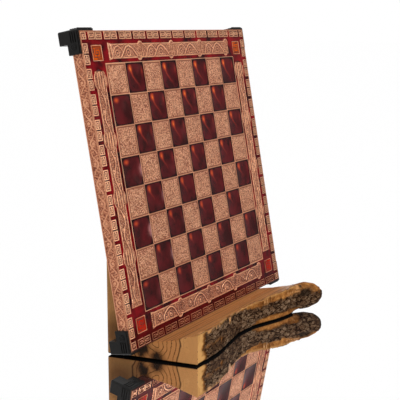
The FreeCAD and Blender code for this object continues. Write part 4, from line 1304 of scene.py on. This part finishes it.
@dataclass
class OliveStand:
    """One block of olive wood, with a bark front, a sawn end and a branch stub."""

    left: float = -150.7
    back: float = 50.4
    saw_angle: float = 11.0
    voxel: float = 1.7
    stub_middle: tuple[float, float, float] = (113.9, -61.2, 22.1)
    stub_angle: float = 30.0
    knot: tuple[float, float, float] = (114.5, -80.5, 30.5)
    hollow: tuple[tuple[float, float], ...] = ((17.5, 2.0), (32.5, 7.6), (53.7, 14.6), (75.0, 22.0))
    stub_radius: float = 19.5

    def build(self, finishes: "Finishes") -> None:
        """Make the block from a merged copy of its solid."""
        begin()
        block_copy = bpy.data.objects.new("olive_wood_block", frame["nodes"]["stand_block"].data.copy())
        bpy.context.scene.collection.objects.link(block_copy)
        block_copy.select_set(True)
        bpy.context.view_layer.objects.active = block_copy
        block_copy.data.materials.clear()
        bpy.ops.object.mode_set(mode="EDIT")
        bpy.ops.mesh.select_all(action="SELECT")
        bpy.ops.mesh.remove_doubles(threshold=0.00002)
        bpy.ops.object.mode_set(mode="OBJECT")
        block_copy.data.remesh_voxel_size = self.voxel * MM
        bpy.ops.object.voxel_remesh()
        softened = block_copy.modifiers.new("softened", "SMOOTH")
        softened.factor, softened.iterations = 0.5, 3
        bpy.ops.object.modifier_apply(modifier=softened.name)
        self.weather(block_copy)
        smooth(block_copy, 60)
        block_copy.data.materials.append(finishes.wood)
        stand_in_place(block_copy, Matrix.Identity(4), "stand", ["stand_block"])

    def natural(self, point: np.ndarray, normal: np.ndarray) -> np.ndarray:
        """Find how far each point belongs to the log's own outside.

        Args:
            point: places in millimetres.
            normal: normals there.

        Returns:
            1 on bark, 0 on sawn and planed wood.
        """
        turn = math.radians(self.saw_angle)
        off_saw = (point[:, 0] - self.left) * math.cos(turn) + (point[:, 1] - self.back) * math.sin(turn)
        along = np.array((math.cos(math.radians(self.stub_angle)), -math.sin(math.radians(self.stub_angle)), 0))
        from_stub = point - np.array(self.stub_middle)
        reach = from_stub @ along
        beside = np.linalg.norm(from_stub - reach[:, None] * along, axis=1)
        stub = np.clip((reach + 2) / 8, 0, 1) * (beside > self.stub_radius * 0.2)
        upright = np.clip((0.62 - normal[:, 2]) / 0.25, 0, 1) * np.clip((normal[:, 2] + 0.97) / 0.1, 0, 1)
        front = upright * np.clip((-24 - point[:, 1]) / 4, 0, 1)
        end = upright * np.clip((point[:, 0] - 96) / 6, 0, 1) * np.clip((self.back - 1.5 - point[:, 1]) / 1.0, 0, 1)
        top = np.clip((point[:, 2] - 92) / 3, 0, 1) * np.clip((normal[:, 2] - 0.35) / 0.3, 0, 1)
        found = np.maximum(np.maximum(front, end), np.maximum(top, stub))
        return found * np.clip((off_saw - 1.0) / 1.2, 0, 1)

    def weather(self, piece: bpy.types.Object) -> None:
        """Sink the bark's furrows into the block and store what each point is."""
        count = len(piece.data.vertices)
        point = points_of(piece) * 1000
        normal = np.zeros(count * 3)
        piece.data.vertices.foreach_get("normal", normal)
        normal = normal.reshape(-1, 3)
        natural = self.natural(point, normal)
        along = np.array((math.cos(math.radians(self.stub_angle)), -math.sin(math.radians(self.stub_angle)), 0))
        reach = (point - np.array(self.stub_middle)) @ along
        on_stub = np.clip(reach / 10, 0, 1)
        plates, furrow = np.zeros(count), np.zeros(count)
        for index in np.nonzero(natural > 0.01)[0]:
            x, y, z = point[index]
            plates[index] = noise.fractal(Vector((x * 0.035, y * 0.05, z * 0.09)), 1.0, 2.0, 4)
            crack = noise.turbulence(Vector((x * 0.10, y * 0.12, z * 0.2)), 4, False)
            furrow[index] = crack
        right_half = np.clip((point[:, 0] + 10) / 50, 0, 1)
        ahead = -point[:, 1] - BOARD.edge_ahead
        below_top = BOARD.edge_height + np.interp(ahead, *zip(*self.hollow)) - point[:, 2]
        bare = np.clip((2.5 + 8 * right_half - below_top) / 1.5, 0, 1) * (1 - on_stub)
        bare = np.maximum(bare, on_stub * np.clip((normal[:, 2] - 0.25) / 0.3, 0, 1) * 1.2)
        turn = math.radians(self.saw_angle)
        off_saw = (point[:, 0] - self.left) * math.cos(turn) + (point[:, 1] - self.back) * math.sin(turn)
        bare = np.maximum(bare, 1.2 * np.clip((18 + 8 * plates - off_saw) / 3, 0, 1))
        bare = np.maximum(bare, 1.1 * np.clip((11 - point[:, 2]) / 3, 0, 1) * np.clip((point[:, 0] - 10) / 30, 0, 1) * (1 - on_stub))
        patch = np.clip((0.62 + 0.8 * plates - bare) / 0.2, 0, 1) * natural
        furrow = np.clip((furrow - 0.25) / 0.75, 0, 1)
        knot = np.exp(-np.sum(((point - np.array(self.knot)) / np.array((14.0, 8.0, 5.0))) ** 2, axis=1)) * natural
        furrow = np.maximum(furrow, np.clip(1.6 * knot, 0, 1))
        patch = np.maximum(patch, np.clip(2 * knot, 0, 1))
        depth = natural * (1 - patch) * 1.5 + patch * furrow * 2.6 + 2.0 * knot
        moved = point - normal * depth[:, None]
        piece.data.vertices.foreach_set("co", (moved / 1000).ravel())
        mark(piece, "natural", natural)
        mark(piece, "patch", patch)
        mark(piece, "furrow", furrow)
        # Painted highlight: a pale band along the ledge's top edge, where its gloss catches the light; the pale strip
        # beside the saw cut is the wood's own.
        rim = 0.75 * np.clip((3.5 - below_top) / 2, 0, 1) * (1 - on_stub)
        mark(piece, "pale_wood_and_highlight", np.maximum(rim, np.clip((15 + 8 * plates - off_saw) / 3, 0, 1) * 0.9))


@dataclass
class Studio:
    """The photographer's table: white gloss floor, soft lamps and the camera."""

    focal_pixels: float = 915.8
    yaw: float = 1.0148
    pitch: float = -0.1890
    roll: float = 0.0027
    eye: tuple[float, float, float] = (-967.4, -584.9, 383.0)
    dark_side: float = 0.28
    dome: float = 0.9
    ambient: float = 0.5

    def place_camera(self) -> None:
        """Put the camera at the photograph's viewing angle."""
        yaw, pitch, roll = self.yaw, self.pitch, self.roll
        ahead = Vector((math.sin(yaw) * math.cos(pitch), math.cos(yaw) * math.cos(pitch), math.sin(pitch)))
        level = Vector((math.cos(yaw), -math.sin(yaw), 0))
        above = level.cross(ahead)
        right = level * math.cos(roll) + above * math.sin(roll)
        up = above * math.cos(roll) - level * math.sin(roll)
        data = bpy.data.cameras.new("camera")
        data.sensor_width = 36.0
        data.lens = self.focal_pixels / 400 * 36
        camera = bpy.data.objects.new("camera", data)
        turn = Matrix((right, up, -ahead)).transposed()
        camera.matrix_world = Matrix.Translation(Vector(self.eye) * MM) @ turn.to_4x4()
        data.clip_start, data.clip_end = 0.01, 50.0
        bpy.context.scene.collection.objects.link(camera)
        bpy.context.scene.camera = camera

    def reflected(self, tree: bpy.types.NodeTree, direction: bpy.types.NodeSocket) -> bpy.types.NodeSocket:
        """Give how bright the studio is in a direction: white behind, above and below, dark in front.

        Args:
            tree: the node tree.
            direction: where a mirrored ray goes.

        Returns:
            A strength from 0 to 1.
        """
        parts = add_node(tree, "SeparateXYZ", {0: direction}).outputs
        behind = add_node(tree, "MapRange", {"Value": parts["Y"], "From Min": -0.35, "From Max": 0.1, "To Min": self.dark_side}, interpolation_type="SMOOTHSTEP").outputs[0]
        steep = add_node(tree, "Math", {0: parts["Z"]}, operation="ABSOLUTE").outputs[0]
        steep = add_node(tree, "MapRange", {"Value": steep, "From Min": 0.3, "From Max": 0.75, "To Max": self.dome}, interpolation_type="SMOOTHSTEP").outputs[0]
        return add_node(tree, "Math", {0: behind, 1: steep}, operation="MAXIMUM").outputs[0]

    def lay_floor(self) -> None:
        """Lay a white glossy floor that mirrors the object as polished acrylic does."""
        bpy.ops.object.select_all(action="DESELECT")
        bpy.ops.mesh.primitive_plane_add(size=40.0, location=(0, 0, 0))
        floor = bpy.context.object
        floor.name = "white_floor"
        material, tree = new_material("white_gloss_floor")
        seen = add_node(tree, "LightPath").outputs
        diffuse = add_node(tree, "BsdfDiffuse", {"Color": linear("#E8E8E8")}).outputs[0]
        mirror = add_node(tree, "BsdfGlossy", {"Color": (1.0, 1.0, 1.0, 1.0), "Roughness": 0.0}).outputs[0]
        polished = add_node(tree, "MixShader", {0: 0.006, 1: mirror, 2: diffuse}).outputs[0]
        ahead = add_node(tree, "VectorMath", {0: add_node(tree, "NewGeometry").outputs["Incoming"], 3: -1.0}, operation="SCALE").outputs[0]
        around = self.reflected(tree, ahead)
        reflected = add_node(tree, "Emission", {"Color": (1.0, 1.0, 1.0, 1.0), "Strength": around}).outputs[0]
        shader = add_node(tree, "MixShader", {0: seen["Is Glossy Ray"], 1: diffuse, 2: reflected}).outputs[0]
        finish_material(tree, add_node(tree, "MixShader", {0: seen["Is Camera Ray"], 1: shader, 2: polished}).outputs[0])
        floor.data.materials.append(material)

    def light(self) -> None:
        """Hang the soft lamps and set the white surroundings."""
        world = bpy.data.worlds.new("studio")
        bpy.context.scene.world = world
        world.use_nodes = True
        tree = world.node_tree
        tree.nodes.clear()
        seen = add_node(tree, "LightPath").outputs
        reflected = self.reflected(tree, add_node(tree, "TexCoord").outputs["Generated"])
        # The floor is a sharp mirror, so its own rays are singular, and show white where they miss.
        straight = add_node(tree, "Math", {0: seen["Is Camera Ray"], 1: seen["Is Singular Ray"]}, operation="MAXIMUM").outputs[0]
        shown = add_node(tree, "Mix", {0: straight, 2: reflected, 3: 1.0}).outputs[0]
        rays = add_node(tree, "Math", {0: seen["Is Camera Ray"], 1: seen["Is Glossy Ray"]}, operation="MAXIMUM").outputs[0]
        rays = add_node(tree, "Math", {0: rays, 1: seen["Is Transmission Ray"]}, operation="MAXIMUM").outputs[0]
        soft = add_node(tree, "Background", {"Color": (1.0, 1.0, 1.0, 1.0), "Strength": self.ambient}).outputs[0]
        white = add_node(tree, "Background", {"Color": (1.0, 1.0, 1.0, 1.0), "Strength": shown}).outputs[0]
        mixed = add_node(tree, "MixShader", {0: rays, 1: soft, 2: white}).outputs[0]
        add_node(tree, "OutputWorld", {"Surface": mixed})
        for name, place, size, power in (
            ("key_lamp", (-1.4, -1.5, 1.5), 0.9, 19.5),
            ("top_lamp", (0.5, -0.9, 1.8), 1.2, 11.5),
            ("front_lamp", (1.25, -1.9, 0.32), 0.55, 8.5),
            ("small_lamp", (1.85, -1.6, 0.55), 0.22, 0.06),
        ):
            lamp = bpy.data.lights.new(name, "AREA")
            lamp.shape, lamp.size, lamp.energy = "SQUARE", size, power
            holder = bpy.data.objects.new(name, lamp)
            holder.location = place
            holder.rotation_mode = "QUATERNION"
            holder.rotation_quaternion = (Vector(place) - Vector((0, 0, 0.18))).to_track_quat("Z", "Y")
            bpy.context.scene.collection.objects.link(holder)


def main() -> None:
    """Build the part's looks in order."""
    logging.basicConfig(level=logging.INFO, format="%(message)s")
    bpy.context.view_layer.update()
    studio = Studio()
    studio.place_camera()
    studio.lay_floor()
    studio.light()
    finishes = Finishes()
    dress_nodes(finishes)
    for part in (Frieze(), KeyBorder(), Medallions(), SideRails(), CornerFeet(), OliveStand()):
        part.build(finishes)
    field_pieces = PlayingField()
    field_pieces.build_copper(finishes)
    field_pieces.build_enamel(finishes)
    bpy.context.scene.view_settings.view_transform = "Standard"


if __name__ == "__main__":
    main()
